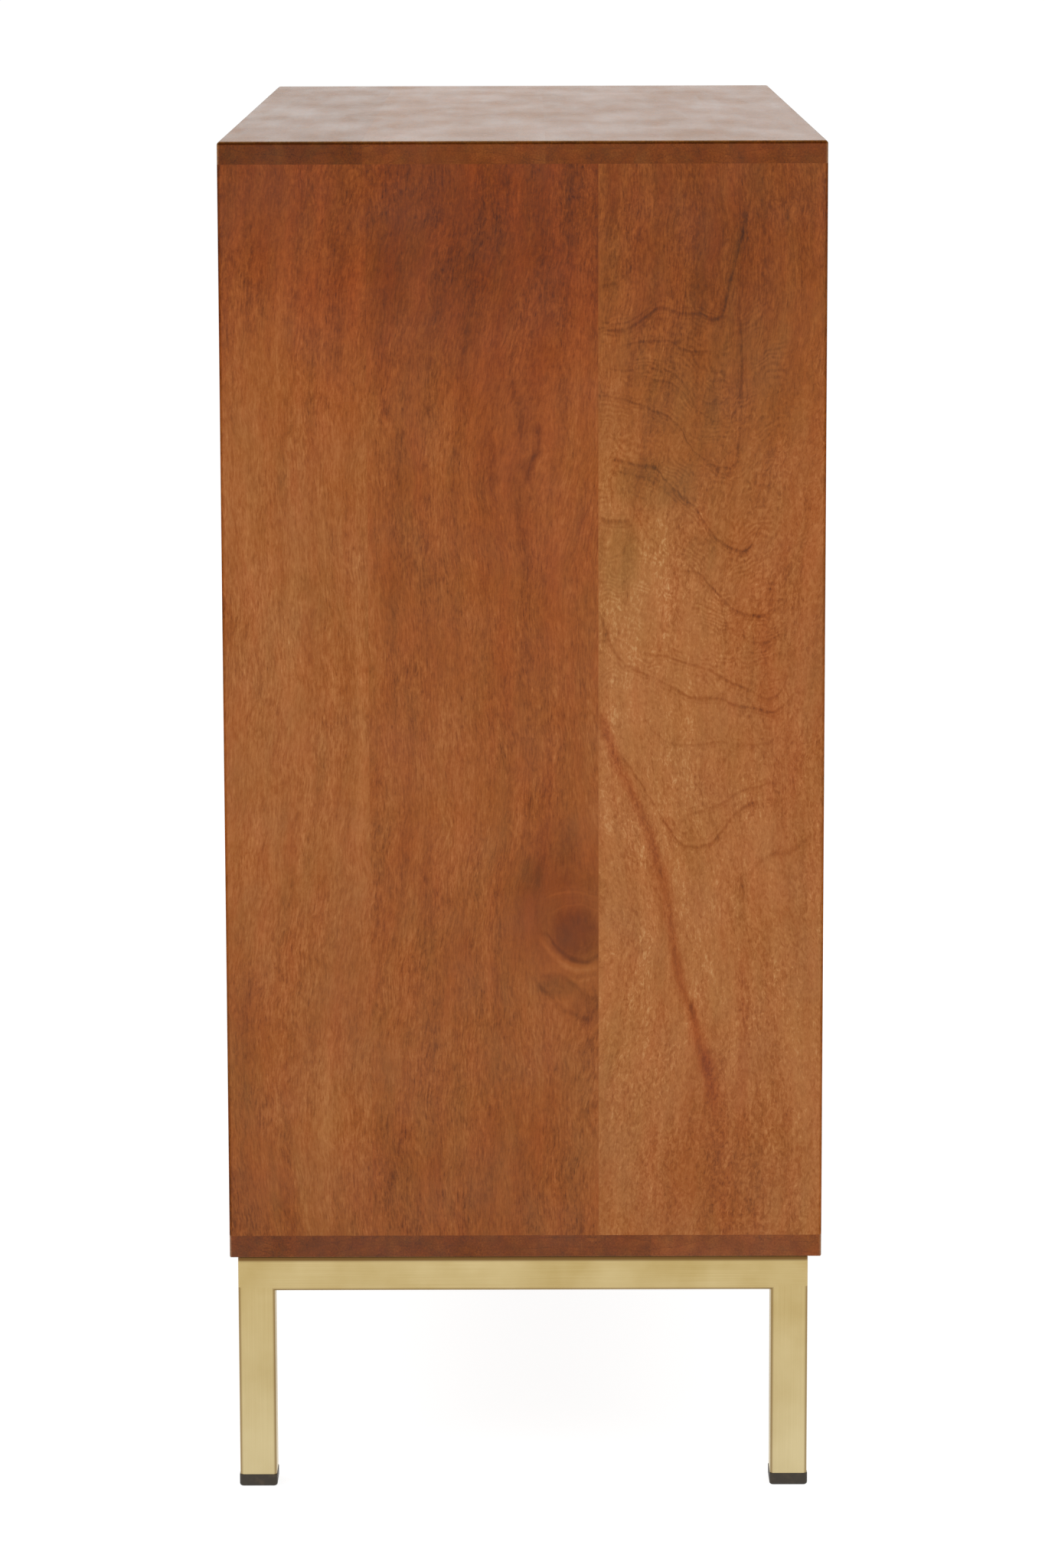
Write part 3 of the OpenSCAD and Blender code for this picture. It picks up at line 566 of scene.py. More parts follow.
def moulded_plastic(name, colour, paler, roughness):
    """Moulded plastic: an even colour, an eggshell surface with a fine texture and a little scuffing."""
    material, tree, shader = new_material(name)
    place = object_place(tree)
    fine = noise(place, 0.6)
    scuff = remap(noise(place, 6, 4.0), 0.5, 0.75)
    connect(shader, {
        "Base Color": blend(scuff, srgb(colour), srgb(paler)),
        "Roughness": remap(fine, 0.0, 1.0, roughness - 0.06, roughness + 0.06),
        "Normal": bent_normal(fine, 0.2, 0.05)})
    return material


# Figure of the end boards, in millimetres across from the front edge and up from the carcass's underside.
# Each board is glued up from three staves. The one at the back shows arches, the middle one a knot.
STAVE_JOINTS = (97.0, 249.5)
FIGURE_REACH = 750.0
# The arris, which gets painted shade: how far below the top's face it begins and ends, and how far from an
# end board's upright edges it begins and is full
TOP_ARRIS = (0.3, 2.3)
END_ARRIS = (2.4, 0.6)
# What the mesh carries for the end boards' material
FIGURE_NAMES = ("figure_across", "figure_up", "grain_line", "tone", "red", "curled", "clear", "arch",
                "rippled")
# Each line of the figure: how dark it is, or how pale if below 0, its width, and the points it runs through
FIGURE_LINES = [
    (0.30, 1.2, [(249, 655), (258, 656), (266, 661), (272, 670)]),
    (0.25, 1.2, [(272, 670), (276, 686), (279, 698)]),
    (0.15, 1.5, [(256, 690), (261, 705), (263, 732)]),
    (0.50, 1.3, [(249, 628), (262, 626), (272, 629), (282, 636), (291, 641), (303, 637), (315, 637),
     (326, 633), (331, 635)]),
    (0.50, 1.2, [(331, 635), (334, 648), (340, 674), (346, 696), (348, 706)]),
    (0.20, 1.0, [(249, 633), (262, 630), (273, 634), (282, 641)]),
    (0.35, 1.0, [(262, 615), (282, 619), (296, 619), (302, 615), (312, 612), (322, 612)]),
    (0.25, 0.9, [(249, 602), (266, 600), (290, 601), (300, 597), (310, 586), (318, 580), (328, 577),
     (334, 581), (338, 590)]),
    (0.30, 0.9, [(285, 594), (298, 591), (306, 584), (314, 575), (322, 568), (329, 566), (334, 570)]),
    (0.45, 1.0, [(249, 583), (264, 581), (274, 578), (284, 574), (294, 570), (302, 564), (308, 553),
     (314, 545), (322, 539), (330, 535), (337, 535), (341, 541)]),
    (0.20, 0.9, [(310, 541), (320, 535), (330, 531), (338, 532), (343, 538)]),
    (0.38, 1.0, [(341, 541), (343, 560), (344, 600), (342, 645)]),
    (0.65, 1.4, [(258, 542), (276, 537), (286, 536), (294, 527), (304, 517), (314, 508), (321, 497),
     (328, 488), (337, 482), (346, 480), (351, 484), (355, 494)]),
    (0.35, 3.0, [(262, 533), (276, 530), (288, 524), (298, 517), (306, 512)]),
    (0.55, 1.5, [(249, 503), (258, 500), (268, 500), (273, 496)]),
    (0.28, 1.0, [(270, 516), (278, 497), (286, 487), (294, 477), (301, 463), (310, 451), (320, 443),
     (330, 440)]),
    (0.50, 1.2, [(306, 467), (317, 465), (324, 457), (333, 446), (343, 439), (353, 437), (360, 437),
     (365, 443)]),
    (0.45, 1.2, [(336, 429), (344, 425), (352, 418), (360, 419), (370, 424)]),
    (0.45, 1.2, [(284, 411), (300, 408), (320, 401), (336, 393), (350, 387), (361, 381), (369, 384),
     (375, 396)]),
    (0.48, 1.2, [(268, 404), (285, 396), (300, 388), (312, 382), (330, 381), (343, 376), (354, 375),
     (364, 372), (372, 376), (380, 386)]),
    (0.50, 1.3, [(269, 403), (261, 412), (255, 426), (250, 440)]),
    (0.30, 1.1, [(278, 371), (288, 358), (298, 351), (312, 350), (330, 352), (348, 350), (364, 352),
     (374, 362)]),
    (0.50, 1.5, [(262, 346), (272, 333), (282, 318), (291, 303), (298, 292), (304, 284), (310, 281),
     (322, 282), (331, 291), (341, 304), (350, 310), (366, 313)]),
    (0.35, 1.1, [(298, 301), (303, 293), (308, 290), (312, 296)]),
    (0.38, 1.2, [(309, 303), (320, 306), (332, 311), (343, 318), (357, 322), (368, 325)]),
    (0.30, 2.2, [(350, 262), (357, 271), (366, 276), (380, 279), (392, 291)]),
    (0.32, 3.0, [(250, 372), (262, 338), (275, 312), (284, 290), (291, 265), (297, 240), (301, 209),
     (308, 180), (314, 160), (321, 135), (327, 116)]),
    (0.60, 1.6, [(311, 176), (313, 166), (314, 158)]),
    (0.28, 1.2, [(346, 168), (350, 150), (355, 122), (357, 100)]),
    (0.20, 1.0, [(362, 152), (365, 130), (369, 108)]),
    (-0.25, 1.2, [(316, 228), (321, 208), (328, 190), (333, 170)]),
    (-0.20, 1.5, [(288, 310), (293, 292), (298, 272)]),
    (0.60, 2.6, [(210, 566), (210, 552), (207, 541), (203, 527)]),
    (0.22, 2.0, [(178, 562), (179, 540), (179, 518)]),
    (0.22, 2.0, [(196, 524), (196, 500), (198, 480)]),
    (0.30, 3.0, [(192, 596), (197, 578), (200, 560)]),
    (0.60, 1.8, [(215, 224), (221, 213), (230, 206), (241, 203), (249, 207)]),
    (-0.45, 2.6, [(211, 219), (219, 208), (228, 201), (238, 198), (249, 199)]),
    (-0.22, 1.0, [(213, 246), (222, 250), (234, 251), (249, 247)]),
    (-0.16, 0.8, [(217, 236), (226, 241), (238, 242), (249, 238)]),
    (0.35, 2.2, [(203, 194), (213, 184), (222, 174), (232, 167), (242, 163)]),
    (0.25, 2.0, [(207, 192), (220, 194), (233, 188), (242, 178)]),
    (-0.20, 1.6, [(226, 193), (236, 190), (249, 192)]),
    (0.22, 1.2, [(108, 128), (104, 100), (98, 60), (93, 25)]),
    (0.18, 1.0, [(101, 100), (96, 60), (90, 25)]),
    (0.20, 1.0, [(118, 92), (112, 60), (106, 38)]),
    (0.16, 1.2, [(38, 150), (46, 140), (51, 120)]),
    (0.20, 1.4, [(23, 110), (20, 90), (21, 70)]),
]
# Ripples follow the arches, this many radians to a millimetre
RIPPLE_TURN = 1.3
# Darkness across a line, at places in widths from its middle: a narrow line has fainter ones beside it
NARROW_LINE = 1.6
LINE_REACH = 6
LINE_STRENGTH = 0.42
ECHOED_LINE = [(-6, 0), (-5.2, 0.2), (-4.5, 0), (-3.4, 0), (-2.7, 0.32), (-1.9, 0.12), (-0.5, 0.8), (0, 1),
               (0.5, 0.7), (1.2, 0.05), (2.4, 0), (3.1, 0.24), (3.8, 0)]
SOFT_LINE = [(-1.5, 0), (-0.4, 0.8), (0, 1), (0.4, 0.8), (1.5, 0)]
# Where the grain spreads round a knot: its middle, its reach and how much it spreads
KNOTS = [((234, 222), 34, 0.55), ((207, 548), 30, 0.35)]


def line_profile(name, profile):
    """A node group that gives the darkness across a line for a place from 0 to 1 over its whole reach."""
    group = new_group(name, "ShaderNodeTree", "NodeSocketFloat", "Place", "Darkness")
    stops = [((place / LINE_REACH + 1) / 2, (value,) * 4) for place, value in profile]
    add("NodeGroupOutput", {0: ramp(add("NodeGroupInput", tree=group)[0], stops)})
    return group


def figure_line(profiles, across, up, dark, width, points):
    """Darkness of one line of the figure, which fades at its ends. The line is a curve that gives the
    height for each place across or, where it is upright, the other way about."""
    spans = [max(values) - min(values) for values in zip(*points)]
    run, rise, (a, b) = (across, up, (0, 1)) if spans[0] > spans[1] else (up, across, (1, 0))
    path = sorted((point[a] / FIGURE_REACH, point[b] / FIGURE_REACH) for point in points)
    off = rise - curve(run, path)
    first, last = path[0][0], path[-1][0]
    fade = min(8 / FIGURE_REACH, (last - first) / 4)
    ends = [(first - 2 * fade, 0.0), (first - fade, 0.0), (first + fade, 1.0),
            (last - fade, 1.0), (last + fade, 0.0), (last + 2 * fade, 0.0)]
    shown = curve(run, ends) * dark
    beside = times_plus(off, FIGURE_REACH / (2 * LINE_REACH * width), 0.5)
    profile = profiles[width < NARROW_LINE]
    return add("ShaderNodeGroup", {0: beside}, node_tree=profile)[0] * shown


def figured_wood(name):
    """The end boards' mango: the same wood, with the figure drawn on it. Places in the figure, the bend of
    the grain, the broad tones and the redness are carried on the mesh."""
    material, tree, shader = new_material(name)
    figure = {name: carried(tree, name) for name in FIGURE_NAMES}
    depth = split(object_place(tree))["X"]
    log = join(figure["figure_up"] * MM, figure["grain_line"] * MM, depth)
    tone, red, relief, cloud = wood_grain(log, *[figure[name] for name in FIGURE_NAMES[3:7]])
    bend = remap(noise(log, 26), 0.0, 1.0, -22, 22)
    ripple = calc("SINE", (figure["arch"] + bend) * RIPPLE_TURN) * figure["rippled"]
    ripple = ripple * remap(noise(log, 18), 0.42, 0.62, 0.0, 0.06)
    shake = noise(log, 7)
    shaken = [figure[axis] + remap(shake, 0.0, 1.0, -1.2, 1.2) for axis in ("figure_across", "figure_up")]
    across, up = [place / FIGURE_REACH for place in shaken]
    arched = calc("GREATER_THAN", figure["figure_across"], STAVE_JOINTS[1])
    profiles = line_profile("soft_line", SOFT_LINE), line_profile("echoed_line", ECHOED_LINE)
    lines = 0.0
    for on_arched in (False, True):
        drawn = [line for line in FIGURE_LINES if (line[2][0][0] >= STAVE_JOINTS[1] - 0.5) == on_arched]
        stave = 0.0
        for dark, width, points in drawn:
            stave = figure_line(profiles, across, up, dark, width, points) + stave
        here = arched if on_arched else 1.0 - arched
        lines = times_plus(stave, here, lines)
    lines = lines * remap(noise(log, 14), 0.3, 0.7, 0.5, 1.15)
    tone = tone + ripple - lines * LINE_STRENGTH
    finish_wood(tree, shader, tone, red, relief, cloud, end_grain(tree, "Z"))
    return material


def step(low, high, value):
    """Smooth step from 0 at low to 1 at high."""
    share = np.clip((value - low) / (high - low), 0, 1)
    return share * share * (3 - 2 * share)


def blot(across, up, place, size, soft=0.5):
    """1 inside an ellipse, falling off smoothly over its edge."""
    away = np.hypot((across - place[0]) / size[0], (up - place[1]) / size[1])
    return 1 - step(1 - soft, 1 + soft, away)


def grain_lines(across, up):
    """The grain line through each place, numbered by its place across. It passes a knot in a bow."""
    line = across.copy()
    for (x, y), reach, spread_out in KNOTS:
        near = np.exp(-((across - x) ** 2 + ((up - y) / 1.6) ** 2) / (2 * reach ** 2))
        line -= spread_out * (across - x) * near
    lean = 10 * np.sin(up / 190 + 0.6) + 7 * np.sin(up / 83 + across / 120)
    return line + lean


# Broad tones of the end boards: places, sizes, how much darker and how much redder
BROAD_TONES = [
    ((30, 420), (45, 190), -0.05, 0.00),
    ((10, 140), (16, 50), 0.08, 0.00),
    ((62, 70), (18, 60), -0.12, -0.04),
    ((30, 40), (70, 60), 0.07, 0.00),
    ((75, 620), (22, 45), 0.05, 0.12),
    ((160, 650), (60, 60), 0.07, 0.00),
    ((160, 300), (50, 200), 0.02, 0.02),
    ((150, 320), (18, 60), -0.07, 0.00),
    ((215, 480), (38, 150), 0.03, 0.12),
    ((224, 245), (30, 40), 0.16, 0.14),
    ((236, 221), (16, 17), 0.15, 0.00),
    ((190, 640), (60, 110), 0.01, 0.06),
    ((205, 262), (7, 12), 0.05, -0.15),
    ((222, 186), (12, 7), 0.14, -0.10),
    ((241, 172), (9, 12), 0.13, 0.00),
    ((275, 440), (32, 90), -0.06, -0.03),
    ((285, 525), (26, 16), 0.08, -0.15),
    ((262, 478), (14, 24), 0.08, -0.20),
    ((318, 478), (10, 14), 0.07, -0.15),
    ((325, 585), (75, 75), 0.22, -0.06),
    ((355, 445), (40, 60), 0.07, 0.06),
    ((120, 500), (25, 90), 0.06, 0.06),
    ((190, 520), (30, 70), 0.04, 0.06),
    ((384, 530), (17, 80), 0.03, 0.08),
    ((388, 390), (22, 130), 0.04, 0.02),
    ((362, 320), (30, 110), 0.04, 0.06),
    ((325, 700), (80, 50), 0.13, 0.02),
    ((335, 70), (38, 60), 0.13, 0.12),
    ((345, 252), (4, 7), 0.12, 0.00),
    ((321, 134), (5, 8), 0.10, 0.08),
]
# A reddish streak runs down the arched stave
RED_STREAK = [(327, 100), (321, 135), (314, 160), (307, 180), (300, 209), (291, 265), (275, 312), (262, 338),
              (250, 372)]


def along_path(across, up, points, width):
    """1 along a path that has one place across for each height, falling off smoothly over the width."""
    places, heights = np.array(points, float).T[:, np.argsort([point[1] for point in points])]
    ends = step(heights[0] - 15, heights[0] + 15, up) * step(heights[-1] + 15, heights[-1] - 15, up)
    return ends * np.exp(-((across - np.interp(up, heights, places)) / width) ** 2)


def side_figure(across, up):
    """Grain line, tone, redness, share of curly grain, clearness of the grain, height in the arches and
    strength of the ripples along them, at each place of an end board."""
    arched = across > STAVE_JOINTS[1]
    middle = (across > STAVE_JOINTS[0]) & ~arched
    tone = np.where(arched, 0.66, 0.53 - 0.05 * step(85, 109, across)) - 0.25 * step(540, 730, up)
    red = np.where(arched, 0.43, np.where(middle, 0.48, 0.46))
    red = red + np.where(arched, 0.12, 0.24) * step(520, 700, up)
    tone = tone - 0.06 * (1 - step(0, 130, up)) + 0.07 * np.exp(-((across - STAVE_JOINTS[0] + 4) / 5) ** 2)
    for place, size, darker, redder in BROAD_TONES:
        same_stave = (place[0] > STAVE_JOINTS[1]) == arched
        spot = blot(across, up, place, size, 0.8 if min(size) > 20 else 0.4) * same_stave
        tone = tone - darker * spot
        red = red + redder * spot
    streak = along_path(across, up, RED_STREAK, 4.5) * arched
    tone = tone - 0.10 * streak
    red = red + 0.25 * streak
    curled = 0.35 + 0.45 * arched * step(640, 560, up) + 0.15 * step(600, 720, up)
    clear = 1 - 0.75 * blot(across, up, (228, 232), (36, 52), 0.8) * middle
    arch = up + (18 + 30 * step(330, 460, up)) * step(265, 340, across) - 14 * step(335, 372, across)
    rippled = arched * step(330, 420, up) * step(690, 600, up) * step(392, 355, across)
    line = grain_lines(across, up) + np.where(arched, 500, np.where(middle, 250, 0))
    return line, tone, red, curled, clear, arch, rippled


def point_places(piece):
    points = np.empty(len(piece.data.vertices) * 3, np.float32)
    piece.data.vertices.foreach_get("co", points)
    return points.reshape(-1, 3)


def carry(piece, name, values):
    """Writes one value for each point of a piece, which its material reads by the name."""
    layer = piece.data.attributes.new(name, "FLOAT", "POINT")
    layer.data.foreach_set("value", np.asarray(values, np.float32))


def carry_figure(piece, turned):
    """Writes the figure on an end board's points. The left board's is the right one's turned end for end."""
    points = point_places(piece)
    across = (points[:, 1] - CASE_LOW.y) / MM
    up = (points[:, 2] - CASE_LOW.z) / MM
    if turned:
        up = (CASE_HIGH.z - CASE_LOW.z) / MM - up
    from_edge = np.minimum(across, (CASE_HIGH.y - CASE_LOW.y) / MM - across)
    # The arris band by the upright edges, where the wood gets painted shade
    carry(piece, "arris", step(*END_ARRIS, from_edge))
    for name, values in zip(FIGURE_NAMES, (across, up, *side_figure(across, up))):
        carry(piece, name, values)


# Carcass

# Steps between the points of the boards' grids: wide where they carry nothing, close where they carry the
# figure, and closest in front of the back joint, where the knot is
TOP_STEP = 15 * MM
PLAIN_STEP = 12 * MM
STAVE_STEP = 5 * MM
ARCHED_STEP = 3 * MM
KNOT_STEP = 2.5 * MM
KNOT_STRETCH = 55 * MM


def make_top_board(material):
    """The top: a row of upper and lower points over its depth, carried along its length. Near an end the
    upper points drop and the outline draws in by quarter circles, which rounds edges and corners."""
    y_low, y_high = CASE_LOW.y, CASE_HIGH.y
    front = arc((y_low + TOP_EASE, 0), TOP_EASE, 180, 90)
    back = arc((y_high - TOP_EASE, 0), TOP_EASE, 90, 0)
    middle = spread(front[-1, 0], Y_PLY, PLAIN_STEP)[1:]
    ys = np.concatenate([front[:, 0], middle, [Y_PLY], back[:, 0]])
    drops = np.concatenate([TOP_EASE - front[:, 1], np.zeros(len(middle) + 1), TOP_EASE - back[:, 1]])
    in_rebate = np.arange(len(ys)) > len(front) + len(middle) - 1
    near = CORNER_R * (1 - np.cos(np.radians(np.linspace(0, 90, 7))))
    ends = np.concatenate([near, [CASE_HIGH.x - X_IN - REBATE] * 2])
    xs_half = CASE_HIGH.x - ends
    xs = np.concatenate([xs_half, spread(xs_half[-1], -xs_half[-1], TOP_STEP)[1:-1], -xs_half[::-1]])
    away = CASE_HIGH.x - np.abs(xs)
    with_rebate = np.zeros(len(xs), bool)
    with_rebate[len(ends) - 1:len(xs) - len(ends) + 1] = True
    y_mid, y_half = (y_low + y_high) / 2, (y_high - y_low) / 2
    y = y_mid + (ys[None, :] - y_mid) * ((y_half - drawn_in(CORNER_R, away)) / y_half)[:, None]
    upper = CASE_HIGH.z - np.maximum(drops[None, :], drawn_in(TOP_EASE, away)[:, None])
    lower = Z_CEILING + REBATE * (with_rebate[:, None] & in_rebate[None, :])
    grid = grid_of(xs[:, None], np.concatenate([y, y[:, ::-1]], axis=1),
                   np.concatenate([upper, lower[:, ::-1]], axis=1))
    piece = make_piece("top_board_lacquered", [grid], "carcass", material, ["top_board"],
                       strips=True)
    # The arris band under the top's face, where the wood gets painted shade
    below = (CASE_HIGH.z - point_places(piece)[:, 2]) / MM
    carry(piece, "arris", (below > TOP_ARRIS[0]) & (below < TOP_ARRIS[1]))
    return piece


def make_end_board(side, sign, material):
    """An end board: its outline in plan carried up. The inner face steps out at the deck's housing."""
    x_out, y_low, y_high = CASE_HIGH.x, CASE_LOW.y, CASE_HIGH.y
    joints = [y_low + joint * MM for joint in STAVE_JOINTS]
    gap = 0.1 * MM
    knot = joints[1] - KNOT_STRETCH
    face = np.concatenate([spread(y_low + CORNER_R, joints[0] - gap, STAVE_STEP)[1:],
                           spread(joints[0] + gap, knot, STAVE_STEP)[:-1],
                           spread(knot, joints[1] - gap, KNOT_STEP),
                           spread(joints[1] + gap, y_high - CORNER_R, ARCHED_STEP)[:-1]])
    outer = np.stack([np.full(len(face), x_out), face], axis=1)
    back = arc((x_out - CORNER_R, y_high - CORNER_R), CORNER_R, 0, 90)
    rebate = np.array([[X_IN + REBATE, y_high], [X_IN + REBATE, Y_PLY]])
    inner_y = spread(Y_PLY, y_low + CORNER_R, PLAIN_STEP)
    inner = np.stack([np.full(len(inner_y), X_IN), inner_y], axis=1)
    front = arc((x_out - CORNER_R, y_low + CORNER_R), CORNER_R, 270, 360)
    outline = np.concatenate([outer, back, rebate, inner, front])
    is_inner = np.zeros(len(outline), bool)
    is_inner[len(outer) + len(back) + len(rebate):len(outline) - len(front)] = True
    below_deck = spread(Z_FLOOR, DECK_LOW.z, ARCHED_STEP)
    above_deck = spread(DECK_HIGH.z, Z_CEILING, ARCHED_STEP)
    levels = np.concatenate([below_deck, [DECK_LOW.z, DECK_HIGH.z], above_deck])
    housed = np.zeros(len(levels), bool)
    housed[len(below_deck):len(below_deck) + 2] = True
    grid = grid_of(sign * (outline[None, :, 0] + HOUSING * (housed[:, None] & is_inner[None, :])),
                   outline[None, :, 1], levels[:, None])
    piece = make_piece(side + "_end_board_lacquered", [grid], "carcass", material,
                       [side + "_end_board"])
    carry_figure(piece, sign < 0)
    return piece


# Base

RING_HALF = ((RING_HIGH.x - RING_LOW.x - TUBE_W) / 2, (RING_HIGH.y - RING_LOW.y - TUBE_W) / 2)
RING_MID_Y = (RING_HIGH.y + RING_LOW.y) / 2
INNER_R = 0.4 * MM


def carry_corner_shade(piece, places):
    """Writes how near each point of a tube is to the middle of a rounded corner, where the brass is given a
    painted brown shade that stands for the dark reflections along the rounded edges. The places are its two
    distances from the tube's middle."""
    a, b = [np.maximum(np.abs(place) - (TUBE_W / 2 - TUBE_R), 0) for place in places]
    carry(piece, "corner", 2 * a * b / np.maximum(a * a + b * b, 1e-12))


def make_rail(name, quarter, material):
    """One side of the welded ring: the tube's outline carried from mitre to mitre, numbered anticlockwise
    from the back. A point of the outline keeps its distance from the ring's middle line, and turns each
    corner on its own arc, which is wide outside and almost sharp inside."""
    tube = rounded_square((0, (RING_LOW.z + RING_HIGH.z) / 2), TUBE_W, TUBE_R)
    out = tube[:, 0]
    radius = INNER_R + (TUBE_R - INNER_R) * (out + TUBE_W / 2) / TUBE_W
    corner_angles = np.radians([45 + 90 * quarter, 135 + 90 * quarter])
    turns = np.concatenate([np.linspace(45, 90, 5), np.full(11, 90), np.linspace(90, 135, 5)])
    angles = np.radians(turns + 90 * quarter)
    along = np.concatenate([np.zeros(5), np.linspace(0, 1, 13)[1:-1], np.ones(5)])
    signs = [(np.sign(np.cos(angle)), np.sign(np.sin(angle))) for angle in corner_angles]
    ends = [np.stack([sx * (RING_HALF[0] + out - radius), sy * (RING_HALF[1] + out - radius)], axis=1)
            for sx, sy in signs]
    centre = ends[0][None] * (1 - along)[:, None, None] + ends[1][None] * along[:, None, None]
    grid = grid_of(centre[..., 0] + radius[None] * np.cos(angles)[:, None],
                   centre[..., 1] + radius[None] * np.sin(angles)[:, None] + RING_MID_Y, tube[None, :, 1])
    piece = make_piece(name + "_plated", [grid], "carcass", material, [name])
    x, y, z = point_places(piece).T
    out_of_ring = np.maximum(np.abs(x) - RING_HALF[0], np.abs(y - RING_MID_Y) - RING_HALF[1])
    carry_corner_shade(piece, (out_of_ring, z - (RING_LOW.z + RING_HIGH.z) / 2))
    return piece


def leg_places():
    """Middles of the four legs in plan, with the signs of their outward directions."""
    for y_name, sy in (("front", -1), ("back", 1)):
        for x_name, sx in (("left", -1), ("right", 1)):
            place = (sx * RING_HALF[0], RING_MID_Y + sy * RING_HALF[1])
            yield f"{y_name}_{x_name}", place, sx, sy


def make_leg(name, place, material):
    """A leg: the tube's outline carried up past the ring's rounded lower edge, as a weld ground flush."""
    outline = rounded_square(place, TUBE_W, TUBE_R)
    grid = plate_grid(outline, 2, CAP_HIGH, RING_LOW.z + TUBE_R, 6)
    piece = make_piece(name + "_leg_plated", [grid], "carcass", material, [name + "_leg"])
    x, y, _ = point_places(piece).T
    carry_corner_shade(piece, (x - place[0], y - place[1]))
    return piece


# A bead's ripples: their length, and how much they swell it
WELD_RIPPLE = 1.6 * MM
WELD_SWELL = 0.07


def weld_bead(corner, up, away, run, length):
    """A bead in a corner, carried along the run: a hollow quarter round that swells with each ripple."""
    s = np.linspace(-length / 2, length / 2, 41)
    ripple = 1 + WELD_SWELL * np.cos(2 * np.pi * s / WELD_RIPPLE)
    taper = np.sqrt(np.clip(1 - (2 * s / length) ** 6, 0.02, 1))
    angle = np.radians(np.linspace(180, 270, 7))
    hollow = np.stack([1 + np.cos(angle), 1 + np.sin(angle)], axis=1)
    section = np.concatenate([hollow, [[-0.15, -0.15]]])
    grow = (WELD_R * ripple * taper)[:, None, None]
    corner, up, away, run = [np.array(v, float) for v in (corner, up, away, run)]
    offset = section[None, :, :1] * grow * away + section[None, :, 1:] * grow * up
    return corner + s[:, None, None] * run + offset


def make_welds(material):
    """Beads under the ring on the two inner sides of each leg, and up the inner corners of the ring."""
    beads = []
    length = TUBE_W - 2 * TUBE_R
    half = TUBE_W / 2
    for _, (x, y), sx, sy in leg_places():
        beads.append(weld_bead((x - sx * half, y, RING_LOW.z), (0, 0, -1), (-sx, 0, 0), (0, 1, 0), length))
        beads.append(weld_bead((x, y - sy * half, RING_LOW.z), (0, 0, -1), (0, -sy, 0), (1, 0, 0), length))
        inside = (x - sx * half, y - sy * half, (RING_LOW.z + RING_HIGH.z) / 2)
        beads.append(weld_bead(inside, (-sx, 0, 0), (0, -sy, 0), (0, 0, 1), length))
    return make_piece("frame_welds_dressed", beads, "carcass", material, ["frame_welds"])


CAP_PROUD = 0.4 * MM
CAP_EDGE = 0.5 * MM
PLUG_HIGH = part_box("foot_caps")[1].z


def cap_grid(place):
    """A foot cap: rounded squares stacked up from the floor. They swell by quarter circles at the foot and
    lip, then step in to the plug that is pushed into the tube."""
    width = TUBE_W + 2 * CAP_PROUD
    foot = TUBE_R - CAP_PROUD
    low = np.radians(np.linspace(0, 90, 7))
    insets = list(foot * (1 - np.sin(low)))
    heights = list(foot * (1 - np.cos(low)))
    high = np.radians(np.linspace(0, 90, 5))
    insets += list(CAP_EDGE * (1 - np.cos(high)))
    heights += list(CAP_HIGH - CAP_EDGE + CAP_EDGE * np.sin(high))
    plug = 2.1 * MM
    insets += [CAP_PROUD + plug, CAP_PROUD + plug, CAP_PROUD + 2 * plug]
    heights += [CAP_HIGH, PLUG_HIGH - plug, PLUG_HIGH]
    layers = [rounded_square(place, width - 2 * inset, max(foot - inset / 2, 0.8 * MM)) for inset in insets]
    x, y = np.moveaxis(np.stack(layers), -1, 0)
    return grid_of(x, y, np.array(heights)[:, None])


def make_caps(material):
    grids = [cap_grid(place) for _, place, _, _ in leg_places()]
    return make_piece("foot_caps_moulded", grids, "carcass", material, ["foot_caps"])


# Pulls

PULL_THICK = 1.5 * MM
PULL_INNER_R = 0.5 * MM
PULL_EDGE = 0.35 * MM


def bent_strip(out_low, out_high, lip):
    """Outline of a bent strip seen from its end: a flange, a round bend and the lip that hangs from it."""
    half = PULL_THICK / 2
    bend = arc((out_low + PULL_THICK, -PULL_THICK), PULL_THICK, 90, 180, 6)
    lip_end = arc((out_low + half, half - lip), half, 180, 360, 8)
    reach = PULL_THICK + PULL_INNER_R
    inner = arc((out_low + reach, -reach), PULL_INNER_R, 180, 90, 4)
    return np.concatenate([[[out_high, 0]], bend, lip_end, inner, [[out_high, -PULL_THICK]]])


def make_pull(node, body, material):
    """An edge pull of bent brass, its ends softened by a narrow bevel."""
    low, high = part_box(node)
    size = high - low
    if size.x > size.z:
        outline = bent_strip(low.y, high.y, size.z) + np.array([0, high.z])
        grid = plate_grid(outline, 0, low.x, high.x)
    else:
        y, depth = bent_strip(low.y, high.y, size.x).T
        x = high.x + depth if body == "left_door" else low.x - depth
        grid = plate_grid(np.stack([x, y], axis=1), 2, low.z, high.z)
    piece = make_piece(node + "_bent", [grid], body, material, [node])
    bevel = piece.modifiers.new("soft_ends", "BEVEL")
    bevel.width = PULL_EDGE
    bevel.segments = 2
    bevel.limit_method = "ANGLE"
    bevel.angle_limit = math.radians(60)
    piece.modifiers.move(1, 0)
    return piece


# CAD nodes that stay

